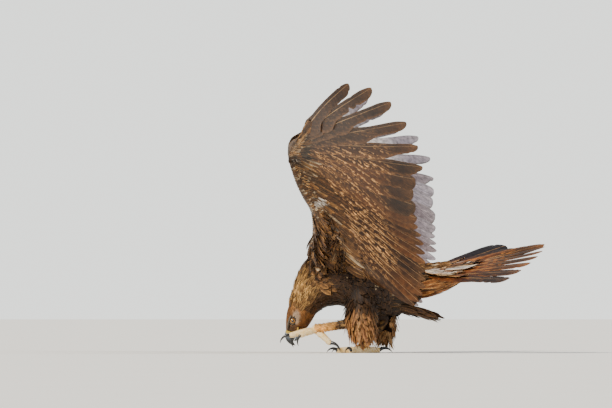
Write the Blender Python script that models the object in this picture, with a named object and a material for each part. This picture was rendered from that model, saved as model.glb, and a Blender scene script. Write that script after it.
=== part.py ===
"""A golden eagle at life size. It stands on its right foot, holds its left foot up beside its
bowed bill, and lifts both wings with the tail spread for balance.

Metres, +Z up. The bird faces -X and its left side is -Y. The origin is on the floor, under the
sole of the standing foot."""

import math

import bmesh
import bpy
import numpy as np

# Where two solids meet, they keep this gap
GAP = 0.0003
UP = np.array((0.0, 0.0, 1.0))
ACROSS = np.array((0.0, 1.0, 0.0))

# The body in its plane of symmetry: back x and z, belly x and z, and half the width there
NECK_TOP = (-0.1828, 0.1334, -0.1087, 0.1087, 0.036)
NECK_UPPER = (-0.1755, 0.1664, -0.0884, 0.1196, 0.043)
NECK_LOWER = (-0.1638, 0.2050, -0.0676, 0.1235, 0.054)
NECK_BASE = (-0.1404, 0.2430, -0.0468, 0.1222, 0.067)
BREAST = (-0.0988, 0.2704, -0.0260, 0.1144, 0.078)
SHOULDERS = (-0.0494, 0.2782, 0.0000, 0.1040, 0.084)
BELLY = (0.0052, 0.2743, 0.0364, 0.0962, 0.083)
FLANKS = (0.0598, 0.2626, 0.0728, 0.0936, 0.076)
LOINS = (0.1066, 0.2520, 0.1066, 0.0988, 0.065)
RUMP = (0.1430, 0.2425, 0.1352, 0.1170, 0.050)
TAIL_ROOT = (0.1740, 0.2340, 0.1640, 0.1430, 0.036)
NECK_STATIONS = (NECK_TOP, NECK_UPPER, NECK_LOWER, NECK_BASE)
TORSO_STATIONS = (NECK_BASE, BREAST, SHOULDERS, BELLY, FLANKS, LOINS, RUMP, TAIL_ROOT)
BODY_SIDES = 18
HEAD_SIDES = 14

# The head, measured from the eye along the bill's direction and square to it
EYE_POINT = np.array((-0.1742, 0.0, 0.0832))
BILL_TILT = math.radians(18.4)
FORWARD = np.array((-math.sin(BILL_TILT), 0.0, -math.cos(BILL_TILT)))
CHINWARD = np.array((math.cos(BILL_TILT), 0.0, -math.sin(BILL_TILT)))
EYE_RADIUS = 0.0095
EYE_SPREAD = 0.0175
# Stations of the head: ahead of the eye, crown above it, throat below it, half width
HEAD_STATIONS = (
    (-0.0450, 0.0240, 0.0540, 0.0360),
    (-0.0300, 0.0235, 0.0500, 0.0345),
    (-0.0150, 0.0220, 0.0460, 0.0310),
    (0.0000, 0.0190, 0.0420, 0.0258),
    (0.0100, 0.0160, 0.0365, 0.0215),
    (0.0200, 0.0125, 0.0320, 0.0170),
    (0.0280, 0.0100, 0.0285, 0.0135),
)
# The bill's upper edge, its cutting edge and the lower bill's chin line, in the same places
CULMEN = ((0.0283, -0.0100), (0.0400, -0.0098), (0.0475, -0.0060), (0.0545, 0.0010),
          (0.0590, 0.0100), (0.0600, 0.0190), (0.0585, 0.0255))
UPPER_TOMIUM = ((0.0283, 0.0190), (0.0370, 0.0190), (0.0430, 0.0185), (0.0475, 0.0180),
                (0.0510, 0.0180), (0.0545, 0.0210), (0.0580, 0.0258))
UPPER_HALF_WIDTHS = (0.0135, 0.0118, 0.0098, 0.0078, 0.0056, 0.0034, 0.0008)
LOWER_TOMIUM = ((0.0283, 0.0196), (0.0370, 0.0196), (0.0440, 0.0192), (0.0480, 0.0190))
CHIN = ((0.0283, 0.0280), (0.0370, 0.0275), (0.0440, 0.0255), (0.0480, 0.0225))
LOWER_HALF_WIDTHS = (0.0105, 0.0090, 0.0065, 0.0030)
NOSTRIL = (0.0370, 0.0020, 0.0118)
NOSTRIL_RADIUS = 0.0022
MOUTH_CORNER = 0.012
MOUTH_LINE = 0.0193

# The left wing's joints. The right wing mirrors it
SHOULDER = np.array((-0.0760, -0.0600, 0.2360))
ELBOW = np.array((-0.0694, -0.2140, 0.3285))
WRIST = np.array((-0.1629, -0.2760, 0.5055))
FINGER = np.array((-0.1380, -0.4150, 0.5597))
PRIMARIES = 10
SECONDARIES = 12
TERTIALS = 4
LAST_PLACE = PRIMARIES + SECONDARIES + TERTIALS - 1
# The directions in which the quills of the left wing point, by the quill's place from the outermost
QUILL_DIRECTIONS = {
    0: (0.330, -0.885, 0.330),
    3: (0.545, -0.835, 0.070),
    5: (0.710, -0.690, -0.140),
    7: (0.800, -0.520, -0.298),
    9: (0.855, -0.230, -0.465),
    12: (0.850, -0.030, -0.530),
    17: (0.775, 0.010, -0.632),
    21: (0.690, 0.020, -0.720),
    25: (0.760, 0.160, -0.630),
}
QUILL_LENGTHS = {
    0: 0.345, 1: 0.440, 2: 0.490, 3: 0.500, 4: 0.480, 5: 0.448, 6: 0.397,
    7: 0.372, 9: 0.364, 14: 0.366, 18: 0.350, 21: 0.304, 25: 0.200,
}
# The right wing is held a little further back: some of its quills differ, also before it is mirrored
RIGHT_DIRECTIONS = {
    **QUILL_DIRECTIONS,
    0: (0.375, -0.885, 0.345),
    2: (0.440, -0.860, 0.100),
    3: (0.545, -0.835, 0.050),
    5: (0.715, -0.690, -0.165),
}
RIGHT_LENGTHS = {
    **QUILL_LENGTHS,
    4: 0.486, 5: 0.455, 6: 0.432, 7: 0.412, 9: 0.405, 14: 0.384, 18: 0.355,
}
LEFT_QUILLS = (QUILL_DIRECTIONS, QUILL_LENGTHS)
RIGHT_QUILLS = (RIGHT_DIRECTIONS, RIGHT_LENGTHS)
# The wing's front edge, by the same places, from the tip of the finger to the shoulder
LEADING_EDGE = {
    0: (-0.147, -0.405, 0.563),
    4: (-0.170, -0.345, 0.549),
    8: (-0.1765, -0.292, 0.522),
    10: (-0.1745, -0.276, 0.495),
    13: (-0.160, -0.255, 0.445),
    16: (-0.142, -0.232, 0.405),
    19: (-0.121, -0.195, 0.365),
    22: (-0.1175, -0.150, 0.312),
    25: (-0.129, -0.100, 0.276),
}
# Where the front edge runs on into the neck
EDGE_END = np.array((-0.136, -0.048, 0.252))
# The upper side of the left wing faces this way at the hand and along the forearm
HAND_NORMAL = np.array((0.517, 0.484, 0.700))
ARM_NORMAL = np.array((0.307, 0.835, 0.455))
# The arm's thickness above and below the quills, from its front edge to just past their roots
ARM_ABOVE = np.array((0.0025, 0.0100, 0.0120, 0.0075))
ARM_BELOW = np.array((0.0025, 0.0115, 0.0150, 0.0095))
ARM_PAST_ROOTS = 0.006
# Each feather is turned about its shaft, so that it lies over the one in front of it
SHINGLE = math.radians(8)
COVERT_SHINGLE = math.radians(5)
SLANT = math.radians(4.5)

# Outlines of vanes: share of the length, front half width and back half width
QUILL_OUTLINE = ((0.0, 0.15, 0.15), (0.45, 0.36, 0.62), (0.86, 0.40, 0.80), (1.0, 0.14, 0.30))
TAIL_OUTLINE = ((0.0, 0.20, 0.20), (0.40, 0.66, 0.66), (0.90, 0.84, 0.84), (1.0, 0.15, 0.15))
COVERT_OUTLINE = ((0.0, 0.30, 0.30), (0.70, 0.95, 0.95), (1.0, 0.20, 0.20))
HACKLE_OUTLINE = ((0.0, 0.30, 0.30), (0.50, 0.92, 0.92), (1.0, 0.05, 0.05))
LOCK_OUTLINE = ((0.0, 0.40, 0.40), (0.60, 0.90, 0.90), (1.0, 0.05, 0.05))
VANE_HALF = 0.0004
COVERT_OVERLAP = 0.70
LOCK_OVERLAP = 0.53
QUILL_OVERLAP = 1.05
SHAFT_LIFT = 0.06
# The outer primaries narrow to fingers. The narrowing lies further out on each feather inwards
FINGERS = 6
FINGER_NOTCH = 0.32
NOTCH_STEP = 0.11
QUILL_BOW = 0.022
ROOT_DEPTH = 0.004
FINGER_HALF_WIDTH = 0.041

# The wing's coverts: first place, last place, how many, lift from the quills, where they start on
# the arm from front edge to quill root, and length
COVERTS = ((0.8, 22.0, 12, 0.0062, 0.93, 0.130), (0.8, 22.0, 12, -0.0080, 0.93, 0.135))

# The tail
TAIL_DIRECTION = np.array((0.969, 0.0, 0.247))
TAIL_POINT = np.array((0.1750, 0.0, 0.2050))
TAIL_FEATHERS = 12
TAIL_LENGTH = 0.315
TAIL_SPREAD = math.radians(46)
TAIL_ROLL = math.radians(10.6)
# How far each side of the fan sags, by share of the spread. The right outer feather is held up
TAIL_SAG = {-1.0: 0.073, -0.64: 0.030, -0.27: 0.006, 0.0: 0.008, 0.27: 0.040,
            0.64: 0.087, 0.82: 0.102, 1.0: 0.068}
TAIL_ROOT_SPREAD = 0.024
TAIL_OVERLAP = 0.62
# The right half of the fan lies over the left one by twice this
SIDE_LIFT = 0.0007
TAIL_COVERTS = 8
TAIL_COVERT_LENGTH = 0.118
TAIL_COVERT_LIFT = 0.012
# Guides for the coverts under the tail and for the dark feathers of the vent, as the body's stations
UNDERTAIL_STATIONS = ((0.150, 0.232, 0.150, 0.136, 0.044), (0.190, 0.236, 0.182, 0.148, 0.046),
                      (0.235, 0.242, 0.224, 0.164, 0.044), (0.285, 0.248, 0.262, 0.186, 0.036))
# The angles of their feathers about these guides, in degrees from the back
UNDERTAIL_LONG = (116, 148, 180, 212, 244)
UNDERTAIL_SHORT = (101, 132, 164, 196, 228, 259)
VENT_LONG = (112, 141, 170, 199, 228)
VENT_SHORT = (127, 156, 185, 214, 243)
VENT_STATIONS = ((0.100, 0.160, 0.100, 0.1010, 0.046), (0.130, 0.150, 0.128, 0.1020, 0.044),
                 (0.168, 0.136, 0.162, 0.0950, 0.040), (0.208, 0.122, 0.190, 0.0900, 0.034))

# The legs
LEFT_HIP = np.array((0.010, -0.050, 0.165))
LEFT_HOCK = np.array((-0.008, -0.072, 0.080))
LEFT_SOLE = np.array((-0.1133, -0.0370, 0.0625))
RIGHT_HIP = np.array((0.045, 0.050, 0.160))
RIGHT_HOCK = np.array((0.062, 0.026, 0.082))
RIGHT_SOLE = np.array((0.0, 0.0, 0.0105))
# Down the trousers of each leg: a point and the half width there
LEFT_TROUSERS = ((0.004, -0.062, 0.150, 0.034), (0.004, -0.076, 0.105, 0.042),
                 (0.006, -0.080, 0.060, 0.038), (0.012, -0.080, 0.020, 0.026))
RIGHT_TROUSERS = ((0.055, 0.045, 0.150, 0.034), (0.062, 0.052, 0.105, 0.032),
                  (0.064, 0.054, 0.060, 0.028), (0.062, 0.055, 0.022, 0.018))
TROUSER_DEPTH = 0.62
# Tiers of the trousers: where their feathers start and end down the leg, and how many there are
TROUSER_TIERS = ((0.10, 0.52, 8), (0.28, 0.77, 9), (0.44, 1.00, 10))
# Toes: length from the middle of the foot, radius at the root, and the claw's length and radius
TOES = {
    "hind": (0.052, 0.0085, 0.040, 0.0060),
    "inner": (0.056, 0.0085, 0.042, 0.0056),
    "middle": (0.070, 0.0082, 0.037, 0.0050),
    "outer": (0.050, 0.0076, 0.032, 0.0045),
}
TOE_ARCH = 0.0015
TOE_DROP = 0.004
# Along a toe: share of its length, its width, and the step of the plates on its upper side
TOE_PROFILE = ((0.00, 1.00, 0.0000), (0.36, 1.00, 0.0000), (0.38, 1.02, 0.0010), (0.54, 0.92, 0.0000),
               (0.56, 0.94, 0.0010), (0.71, 0.90, 0.0000), (0.73, 0.92, 0.0010), (0.87, 0.84, 0.0000),
               (0.89, 0.86, 0.0009), (1.00, 0.80, 0.0000))
PAD_RADIUS = 0.012
CLAW_TURN = math.radians(100)
CLAW_TIP_HEIGHT = 0.0015
RIGHT_TOES = {"hind": (0.97, 0.22, 0.0), "inner": (-0.40, -0.92, 0.0),
              "middle": (-0.84, -0.54, 0.0), "outer": (-0.97, 0.25, 0.0)}
LEFT_FOOT_UP = np.array((0.15, -0.25, 0.95))
LEFT_TOES = {"hind": (0.70, -0.15, -0.62), "inner": (-0.90, 0.22, -0.15),
             "middle": (-0.97, -0.14, -0.19), "outer": (-0.79, -0.54, -0.27)}
# How far each claw of the raised foot is turned up from its toe at the base, in degrees
LEFT_CLAW_STARTS = {"hind": 50, "inner": -20, "middle": 20, "outer": -25}


def unit(vector):
    vector = np.asarray(vector, float)
    return vector / np.linalg.norm(vector)


def square_to(vector, axis):
    """The part of a vector that is square to a unit axis, at unit length."""
    return unit(vector - axis * np.dot(vector, axis))


def smooth_rows(rows, steps):
    """Rows of numbers with others between them, on a Catmull-Rom curve."""
    rows = np.asarray(rows, float)
    padded = np.vstack((2 * rows[0] - rows[1], rows, 2 * rows[-1] - rows[-2]))
    found = []
    for i in range(len(rows) - 1):
        a, b, c, d = padded[i:i + 4]
        for step in range(steps):
            t = step / steps
            found.append(0.5 * (2 * b + (c - a) * t + (2 * a - 5 * b + 4 * c - d) * t * t
                                + (3 * b - a - 3 * c + d) * t ** 3))
    found.append(rows[-1])
    return np.array(found)


def row_at(rows, share):
    """A row read from smooth rows by share of their run."""
    place = np.clip(share, 0, 1) * (len(rows) - 1)
    low = min(int(place), len(rows) - 2)
    return rows[low] + (rows[low + 1] - rows[low]) * (place - low)


def along(table, place):
    """A value or direction from a table by place, on a smooth curve through its entries."""
    places = np.array(sorted(table), float)
    values = np.array([np.atleast_1d(table[p]) for p in sorted(table)], float)
    slopes = np.gradient(values, places, axis=0)
    i = int(np.clip(np.searchsorted(places, place) - 1, 0, len(places) - 2))
    span = places[i + 1] - places[i]
    t = (place - places[i]) / span
    found = ((2 * t ** 3 - 3 * t ** 2 + 1) * values[i] + (t ** 3 - 2 * t ** 2 + t) * span * slopes[i]
             + (3 * t ** 2 - 2 * t ** 3) * values[i + 1] + (t ** 3 - t ** 2) * span * slopes[i + 1])
    return found if len(found) > 1 else float(found[0])


def facing_out(points, faces):
    """The faces, turned round if they enclose a negative volume."""
    corners = points[faces]
    volume = np.einsum("ij,ij->i", corners[:, 0], np.cross(corners[:, 1], corners[:, 2])).sum()
    return faces if volume > 0 else faces[:, ::-1]


def tube(rings):
    """A closed body through a stack of rings, with a flat fan at each end."""
    rings = np.asarray(rings, float)
    count, sides = rings.shape[:2]
    points = np.vstack((rings.reshape(-1, 3), rings[0].mean(0), rings[-1].mean(0)))
    i, j = np.meshgrid(np.arange(count - 1), np.arange(sides), indexing="ij")
    k = (j + 1) % sides
    a, b, c, d = i * sides + j, i * sides + k, (i + 1) * sides + k, (i + 1) * sides + j
    walls = np.vstack((np.stack((a, b, c), -1).reshape(-1, 3), np.stack((a, c, d), -1).reshape(-1, 3)))
    around = np.arange(sides)
    after = (around + 1) % sides
    last = (count - 1) * sides
    first_cap = np.stack((np.full(sides, count * sides), after, around), -1)
    last_cap = np.stack((np.full(sides, count * sides + 1), last + around, last + after), -1)
    faces = np.vstack((walls, first_cap, last_cap))
    return points, facing_out(points, faces)


def shell(upper, lower):
    """A closed plate between two grids of points, split into triangles alike on both faces."""
    rows, columns = upper.shape[:2]
    points = np.vstack((upper.reshape(-1, 3), lower.reshape(-1, 3)))
    i, j = np.meshgrid(np.arange(rows - 1), np.arange(columns - 1), indexing="ij")
    a, b = (i * columns + j).ravel(), (i * columns + j + 1).ravel()
    c, d = b + columns, a + columns
    top = np.vstack((np.stack((a, b, c), -1), np.stack((a, c, d), -1)))
    under = top[:, ::-1] + rows * columns
    grid = np.arange(rows * columns).reshape(rows, columns)
    rim = np.concatenate((grid[0, :-1], grid[:-1, -1], grid[-1, :0:-1], grid[:0:-1, 0]))
    following = np.roll(rim, -1)
    under_rim, under_following = rim + rows * columns, following + rows * columns
    wall = np.vstack((np.stack((rim, under_rim, under_following), -1),
                      np.stack((rim, under_following, following), -1)))
    faces = np.vstack((top, under, wall))
    return points, facing_out(points, faces)


def vane(line, front, normal, outline, half_width, tilt=0.0, curl=0.0):
    """A feather's vane: a thin plate about the line of its shaft, one point to each row of its
    outline, with the way to its front edge and to its upper side there. It is turned about the
    shaft by tilt, with its front edge up. A curl raises the shaft by that share of the half width."""
    chord = front * math.cos(tilt) + normal * math.sin(tilt)
    widths = np.array(outline)[:, 1:] * half_width
    edges = [line + chord * widths[:, :1], line - chord * widths[:, 1:]]
    if curl:
        edges.insert(1, line + normal * curl * half_width)
    grid = np.stack(edges, 1)
    half = normal[:, None] * VANE_HALF
    return shell(grid + half, grid - half)


def tier(shaft, places, outline, tilt, overlap=COVERT_OVERLAP):
    """Feathers side by side. shaft gives the points of a feather's shaft for a place in the row and
    shares of its length. Each vane lies along the line that joins it to its neighbours' shafts, and
    its half width is overlap times the space between them."""
    shares = np.array(outline)[:, 0]
    widest = int(np.argmax(np.array(outline)[:, 1]))
    half_step = abs(places[1] - places[0]) / 2
    made = []
    for place in places:
        line = shaft(place, shares)
        tangent = np.gradient(line, axis=0)
        tangent = tangent / np.linalg.norm(tangent, axis=1)[:, None]
        space = shaft(place - half_step, shares) - shaft(place + half_step, shares)
        space = space - tangent * (space * tangent).sum(1)[:, None]
        spans = np.linalg.norm(space, axis=1)
        front = space / spans[:, None]
        half_width = spans[widest] * overlap
        made.append(vane(line, front, np.cross(front, tangent), outline, half_width, tilt))
    return made


def guided_ring(top, bottom, half_width, sides, squareness=1.0):
    """A ring between a point of the back line and one of the belly line, wide across the bird."""
    angles = np.arange(sides) * 2 * math.pi / sides
    lift = np.sign(np.cos(angles)) * np.abs(np.cos(angles)) ** squareness
    spread = np.sign(np.sin(angles)) * np.abs(np.sin(angles)) ** squareness
    middle, half = (top + bottom) / 2, (top - bottom) / 2
    return middle + lift[:, None] * half + spread[:, None] * half_width * ACROSS


def swept_tube(path, radii, flatness, normal, sides, first_tangent=None):
    """A tube along a path. Its section is flatter by flatness along the normal.
    A first_tangent turns the first ring, so that it lies flat against what it meets."""
    path = np.asarray(path, float)
    tangents = np.gradient(path, axis=0)
    if first_tangent is not None:
        tangents[0] = first_tangent
    angles = np.arange(sides) * 2 * math.pi / sides
    rings = []
    for point, tangent, radius in zip(path, tangents, radii):
        lift = square_to(normal, unit(tangent))
        side = np.cross(unit(tangent), lift)
        rings.append(point + radius * (np.cos(angles)[:, None] * side
                                       + flatness * np.sin(angles)[:, None] * lift))
    return tube(rings)


def ball(centre, radius, sides=12, rows=6):
    """A sphere as a stack of rings along Y, closed by small flats."""
    rings = []
    angles = np.arange(sides) * 2 * math.pi / sides
    for slope in np.linspace(-0.95, 0.95, rows) * math.pi / 2:
        ring = np.zeros((sides, 3))
        ring[:, 0] = radius * math.cos(slope) * np.cos(angles)
        ring[:, 2] = radius * math.cos(slope) * np.sin(angles)
        ring[:, 1] = radius * math.sin(slope)
        rings.append(ring + centre)
    return tube(rings)


def mirrored(shape):
    """The shape on the other side of the bird's plane of symmetry."""
    points, faces = shape
    return points * (1.0, -1.0, 1.0), faces[:, ::-1]


def linked_mesh(name, shape):
    """A mesh object in the scene from points and triangles."""
    points, faces = shape
    mesh = bpy.data.meshes.new(name)
    mesh.from_pydata(points.tolist(), [], faces.tolist())
    mesh.update()
    made = bpy.data.objects.new(name, mesh)
    bpy.context.scene.collection.objects.link(made)
    return made


def keep_largest(made):
    """Drops all but the largest closed surface of a node, which fills sealed hollows too."""
    form = bmesh.new()
    form.from_mesh(made.data)
    left = set(form.faces)
    islands = []
    while left:
        stack = [left.pop()]
        island = [stack[0]]
        while stack:
            for edge in stack.pop().edges:
                for face in edge.link_faces:
                    if face in left:
                        left.remove(face)
                        island.append(face)
                        stack.append(face)
        islands.append(island)
    islands.sort(key=lambda island: sum(face.calc_area() for face in island))
    for island in islands[:-1]:
        bmesh.ops.delete(form, geom=island, context="FACES")
    form.to_mesh(made.data)
    form.free()


def apply_boolean(made, shapes, operation):
    """Joins shapes to an object, or cuts them from it, all in one Boolean."""
    helpers = bpy.data.collections.new("helpers")
    bpy.context.scene.collection.children.link(helpers)
    for shape in shapes:
        helper = linked_mesh("helper", shape)
        bpy.context.scene.collection.objects.unlink(helper)
        helpers.objects.link(helper)
    boolean = made.modifiers.new("Boolean", "BOOLEAN")
    boolean.operation = operation
    boolean.operand_type = "COLLECTION"
    boolean.collection = helpers
    boolean.solver = "MANIFOLD"
    bpy.context.view_layer.update()
    evaluated = made.evaluated_get(bpy.context.evaluated_depsgraph_get())
    result = bpy.data.meshes.new_from_object(evaluated)
    made.modifiers.clear()
    made.data = result
    for helper in list(helpers.objects):
        bpy.data.objects.remove(helper)
    bpy.data.collections.remove(helpers)


def node(name, shapes, cutters, material):
    """One named solid: its shapes joined, the cutters taken away, and loose scraps dropped."""
    made = linked_mesh(name, shapes[0])
    if len(shapes) > 1:
        apply_boolean(made, shapes[1:], "UNION")
    for cutter in cutters:
        apply_boolean(made, [cutter], "DIFFERENCE")
    keep_largest(made)
    made.data.materials.clear()
    made.data.materials.append(material)
    return made


def finish_of(name, colour, roughness):
    """A plain Principled material."""
    made = bpy.data.materials.new(name)
    made.use_nodes = True
    surface = made.node_tree.nodes["Principled BSDF"]
    surface.inputs["Base Color"].default_value = (*colour, 1.0)
    surface.inputs["Roughness"].default_value = roughness
    surface.inputs["Metallic"].default_value = 0.0
    return made


def body_rings(stations, steps, grow=0.0):
    """Rings of the body through its stations, each grown outwards by the same distance."""
    rings = []
    for back_x, back_z, belly_x, belly_z, half_width in smooth_rows(stations, steps):
        top = np.array((back_x, 0.0, back_z))
        bottom = np.array((belly_x, 0.0, belly_z))
        out = unit(top - bottom) * grow
        rings.append(guided_ring(top + out, bottom - out, half_width + grow, BODY_SIDES))
    return rings


def body_shaft(stations, start, end, root_lift, tip_lift):
    """The shaft function of feathers that lie along a form given by stations of the body, from
    start to end of its run. Their places are angles about it, with 0 at its back."""
    rows = smooth_rows(stations, 6)

    def shaft(angle, shares):
        points = []
        for share in shares:
            row = row_at(rows, start + (end - start) * share)
            top, bottom = np.array((row[0], 0.0, row[1])), np.array((row[2], 0.0, row[3]))
            half = (top - bottom) / 2
            out = unit(half) * math.cos(angle) + ACROSS * math.sin(angle)
            lift = root_lift + (tip_lift - root_lift) * share
            points.append((top + bottom) / 2 + half * math.cos(angle)
                          + ACROSS * row[4] * math.sin(angle) + out * lift)
        return np.array(points)

    return shaft


def torso_core(grow=0.0):
    """The trunk. Grown, it reaches past its ends too, so that it clears what it cuts."""
    rings = body_rings(TORSO_STATIONS, 2, grow)
    for end, inner in ((0, 1), (-1, -2)):
        rings[end] = rings[end] + unit(rings[end].mean(0) - rings[inner].mean(0)) * grow
    return tube(rings)


def vent_feathers():
    """The dark loose feathers between the legs and the tail, rooted in the belly."""
    long_ones = body_shaft(VENT_STATIONS, 0.0, 1.0, -0.003, 0.0)
    short_ones = body_shaft(VENT_STATIONS, 0.0, 0.75, -0.001, 0.004)
    return (tier(long_ones, np.radians(VENT_LONG), LOCK_OUTLINE, SLANT, LOCK_OVERLAP)
            + tier(short_ones, np.radians(VENT_SHORT), LOCK_OUTLINE, SLANT, LOCK_OVERLAP))


def neck_core(grow=0.0):
    """The neck, a hair short at both ends where the head and the trunk meet it."""
    rings = body_rings(NECK_STATIONS, 2, grow)
    for end, inner in ((0, 1), (-1, -2)):
        rings[end] = rings[end] + unit(rings[inner].mean(0) - rings[end].mean(0)) * GAP
    return tube(rings)


def hackles():
    """The pointed feathers of the nape, in tiers that lie down the neck towards the body."""
    made = []
    for number, start in enumerate((0.04, 0.30, 0.56)):
        angles = np.radians(29) * (np.arange(-4, 5) + 0.5 * (number % 2))
        shaft = body_shaft(NECK_STATIONS, start, start + 0.40, -0.0035, 0.0035)
        made += tier(shaft, angles, HACKLE_OUTLINE, SLANT, LOCK_OVERLAP)
    return made


def in_head(forward, chinward, across=0.0):
    """A point from its place in the head: ahead of the eye, towards the chin, and to the right."""
    return EYE_POINT + FORWARD * forward + CHINWARD * chinward + ACROSS * across


def skull():
    rings = []
    for ahead, crown, throat, half_width in smooth_rows(HEAD_STATIONS, 2):
        rings.append(guided_ring(in_head(ahead, -crown), in_head(ahead, throat),
                                 half_width, HEAD_SIDES, 0.9))
    return tube(rings)


def brow(side):
    """The ridge that shades the eye, from the cere back over the eye. side is -1 on the left."""
    places = ((0.0240, -0.0060, 0.0130), (0.0120, -0.0090, 0.0185), (0.0000, -0.0100, 0.0225),
              (-0.0140, -0.0090, 0.0265))
    path = [in_head(f, c, side * y) for f, c, y in places]
    return swept_tube(path, (0.0015, 0.0042, 0.0045, 0.0020), 0.75, CHINWARD, 6)


def eyelids(side):
    """The rims of the two lids: a ring a little flatter than round, about the eye."""
    angles = np.arange(10) * 2 * math.pi / 10
    rings = []
    for angle in angles:
        out = FORWARD * math.cos(angle) * 1.08 + CHINWARD * math.sin(angle) * 0.92
        middle = in_head(0, 0, side * (EYE_SPREAD + 0.0052)) + out * 0.0084
        across = unit(out) * 0.0016
        depth = ACROSS * side * 0.0020
        rings.append([middle + across * math.cos(a) + depth * math.sin(a)
                      for a in np.arange(4) * math.pi / 2])
    rings = np.array(rings)
    count, sides = rings.shape[:2]
    i, j = np.meshgrid(np.arange(count), np.arange(sides), indexing="ij")
    m, k = (i + 1) % count, (j + 1) % sides
    a, b, c, d = i * sides + j, i * sides + k, m * sides + k, m * sides + j
    faces = np.vstack((np.stack((a, b, c), -1).reshape(-1, 3), np.stack((a, c, d), -1).reshape(-1, 3)))
    points = rings.reshape(-1, 3)
    return points, facing_out(points, faces)


def mouth_cut():
    """A thin wedge that draws the line of the mouth back from the bill into the face."""
    far, wide = 0.0300, 0.0400
    corners = []
    for across in (-wide, wide):
        corners.append([in_head(MOUTH_CORNER, MOUTH_LINE + 0.0010, across),
                        in_head(far, MOUTH_LINE - 0.0008, across),
                        in_head(far, MOUTH_LINE + 0.0008, across)])
    return tube(corners)


def bill_piece(culmen, tomium, half_widths):
    """A horn sheath between an upper and a lower guide line, both in head places."""
    rings = []
    for (top_f, top_c), (low_f, low_c), width in zip(culmen, tomium, half_widths):
        rings.append(guided_ring(in_head(top_f, top_c), in_head(low_f, low_c), width, 12, 0.85))
    return tube(rings)


def build_head(feathers, horn, iris):
    sockets = [ball(in_head(0, 0, y), EYE_RADIUS + GAP) for y in (-EYE_SPREAD, EYE_SPREAD)]
    bill_upper = bill_piece(CULMEN, UPPER_TOMIUM, UPPER_HALF_WIDTHS)
    shapes = [skull(), brow(-1), brow(1), eyelids(-1), eyelids(1)]
    node("head", shapes, sockets + [mouth_cut()], feathers)
    for side, y in (("left", -EYE_SPREAD), ("right", EYE_SPREAD)):
        node(f"eye_{side}", [ball(in_head(0, 0, y), EYE_RADIUS)], (), iris)
    forward, chinward, across = NOSTRIL
    nostrils = [ball(in_head(forward, chinward, y), NOSTRIL_RADIUS, 6, 5) for y in (-across, across)]
    node("bill_upper", [bill_upper], nostrils, horn)
    node("bill_lower", [bill_piece(LOWER_TOMIUM, CHIN, LOWER_HALF_WIDTHS)], (), horn)


def wing_quill(place, quills=LEFT_QUILLS):
    """Root, direction, upper side and length of one quill of the left wing.
    Place 0 is the outermost primary, and the last place is the tertial nearest the body."""
    if place < PRIMARIES:
        root = FINGER + (WRIST - FINGER) * (place + 0.5) / PRIMARIES
    elif place < PRIMARIES + SECONDARIES:
        root = WRIST + (ELBOW - WRIST) * (place - PRIMARIES + 0.5) / SECONDARIES
    else:
        share = (place - PRIMARIES - SECONDARIES + 0.5) / TERTIALS
        root = ELBOW + (SHOULDER - ELBOW) * 0.55 * share
    direction = unit(along(quills[0], place))
    turn = min(max((place - 4) / 8, 0.0), 1.0)
    normal = square_to(HAND_NORMAL * (1 - turn) + ARM_NORMAL * turn, direction)
    return root, direction, normal, along(quills[1], place)


def arm_plate():
    """The flesh of the arm and hand with the fold of skin before them, as one tapering plate."""
    shares = np.array((0.0, 0.25, 0.65))
    upper, lower = [], []
    for place in (*range(0, LAST_PLACE, 3), LAST_PLACE, None):
        if place is None:
            lead, root = EDGE_END, SHOULDER
        else:
            root, direction, normal, _ = wing_quill(float(place))
            lead = np.array(along(LEADING_EDGE, place))
        line = np.vstack((lead + (root - lead) * shares[:, None], root + direction * ARM_PAST_ROOTS))
        upper.append(line + normal * ARM_ABOVE[:, None])
        lower.append(line - normal * ARM_BELOW[:, None])
    return shell(np.array(upper), np.array(lower))


def upper_arm():
    """The fleshy upper arm, from inside the body out to the elbow."""
    path = smooth_rows((SHOULDER + (SHOULDER - ELBOW) * 0.25, SHOULDER, ELBOW), 3)
    radii = np.interp(np.arange(len(path)), (0, 3, 6), (0.034, 0.034, 0.022))
    return swept_tube(path, radii, 0.6, ARM_NORMAL, 10)


def finger_outline(place):
    """The outline of an outer primary, wide at its base and narrow past its notch."""
    notch = FINGER_NOTCH + NOTCH_STEP * place
    return ((0.0, 0.12, 0.15), (notch - 0.05, 0.32, 0.85), (notch + 0.08, 0.24, 0.60),
            (0.92, 0.25, 0.52), (1.0, 0.09, 0.12))


def flight_feathers(quills):
    """The primaries, secondaries and tertials. The outer primaries narrow into fingers."""
    def shaft(place, shares):
        root, direction, normal, length = wing_quill(place, quills)
        bow = 4 * QUILL_BOW * math.exp(-place / 6) * length * shares * (1 - shares)
        return (root - direction * ROOT_DEPTH + direction * (shares * length)[:, None]
                + np.cross(direction, normal) * bow[:, None])

    made = []
    for place in range(FINGERS):
        _, direction, normal, _ = wing_quill(float(place), quills)
        outline = finger_outline(place)
        line = shaft(place, np.array(outline)[:, 0])
        normals = np.tile(normal, (len(line), 1))
        made.append(vane(line, np.cross(direction, normal), normals, outline, FINGER_HALF_WIDTH,
                         SHINGLE, SHAFT_LIFT))
    return made + tier(shaft, range(FINGERS, LAST_PLACE + 1), QUILL_OUTLINE, SHINGLE, QUILL_OVERLAP)


def wing_coverts(quills):
    """The coverts above and below the quills, each tier lifted clear of the one beneath it."""
    made = []
    for first, last, count, lift, start, reach in COVERTS:
        def shaft(place, shares):
            root, direction, normal, _ = wing_quill(place, quills)
            lead = np.array(along(LEADING_EDGE, place))
            base = lead + (root - lead) * start + normal * lift * 0.8
            return base + direction * (shares * reach)[:, None] + normal * (0.2 * lift * shares)[:, None]

        made += tier(shaft, np.linspace(first, last, count), COVERT_OUTLINE, COVERT_SHINGLE)
    return made


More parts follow.
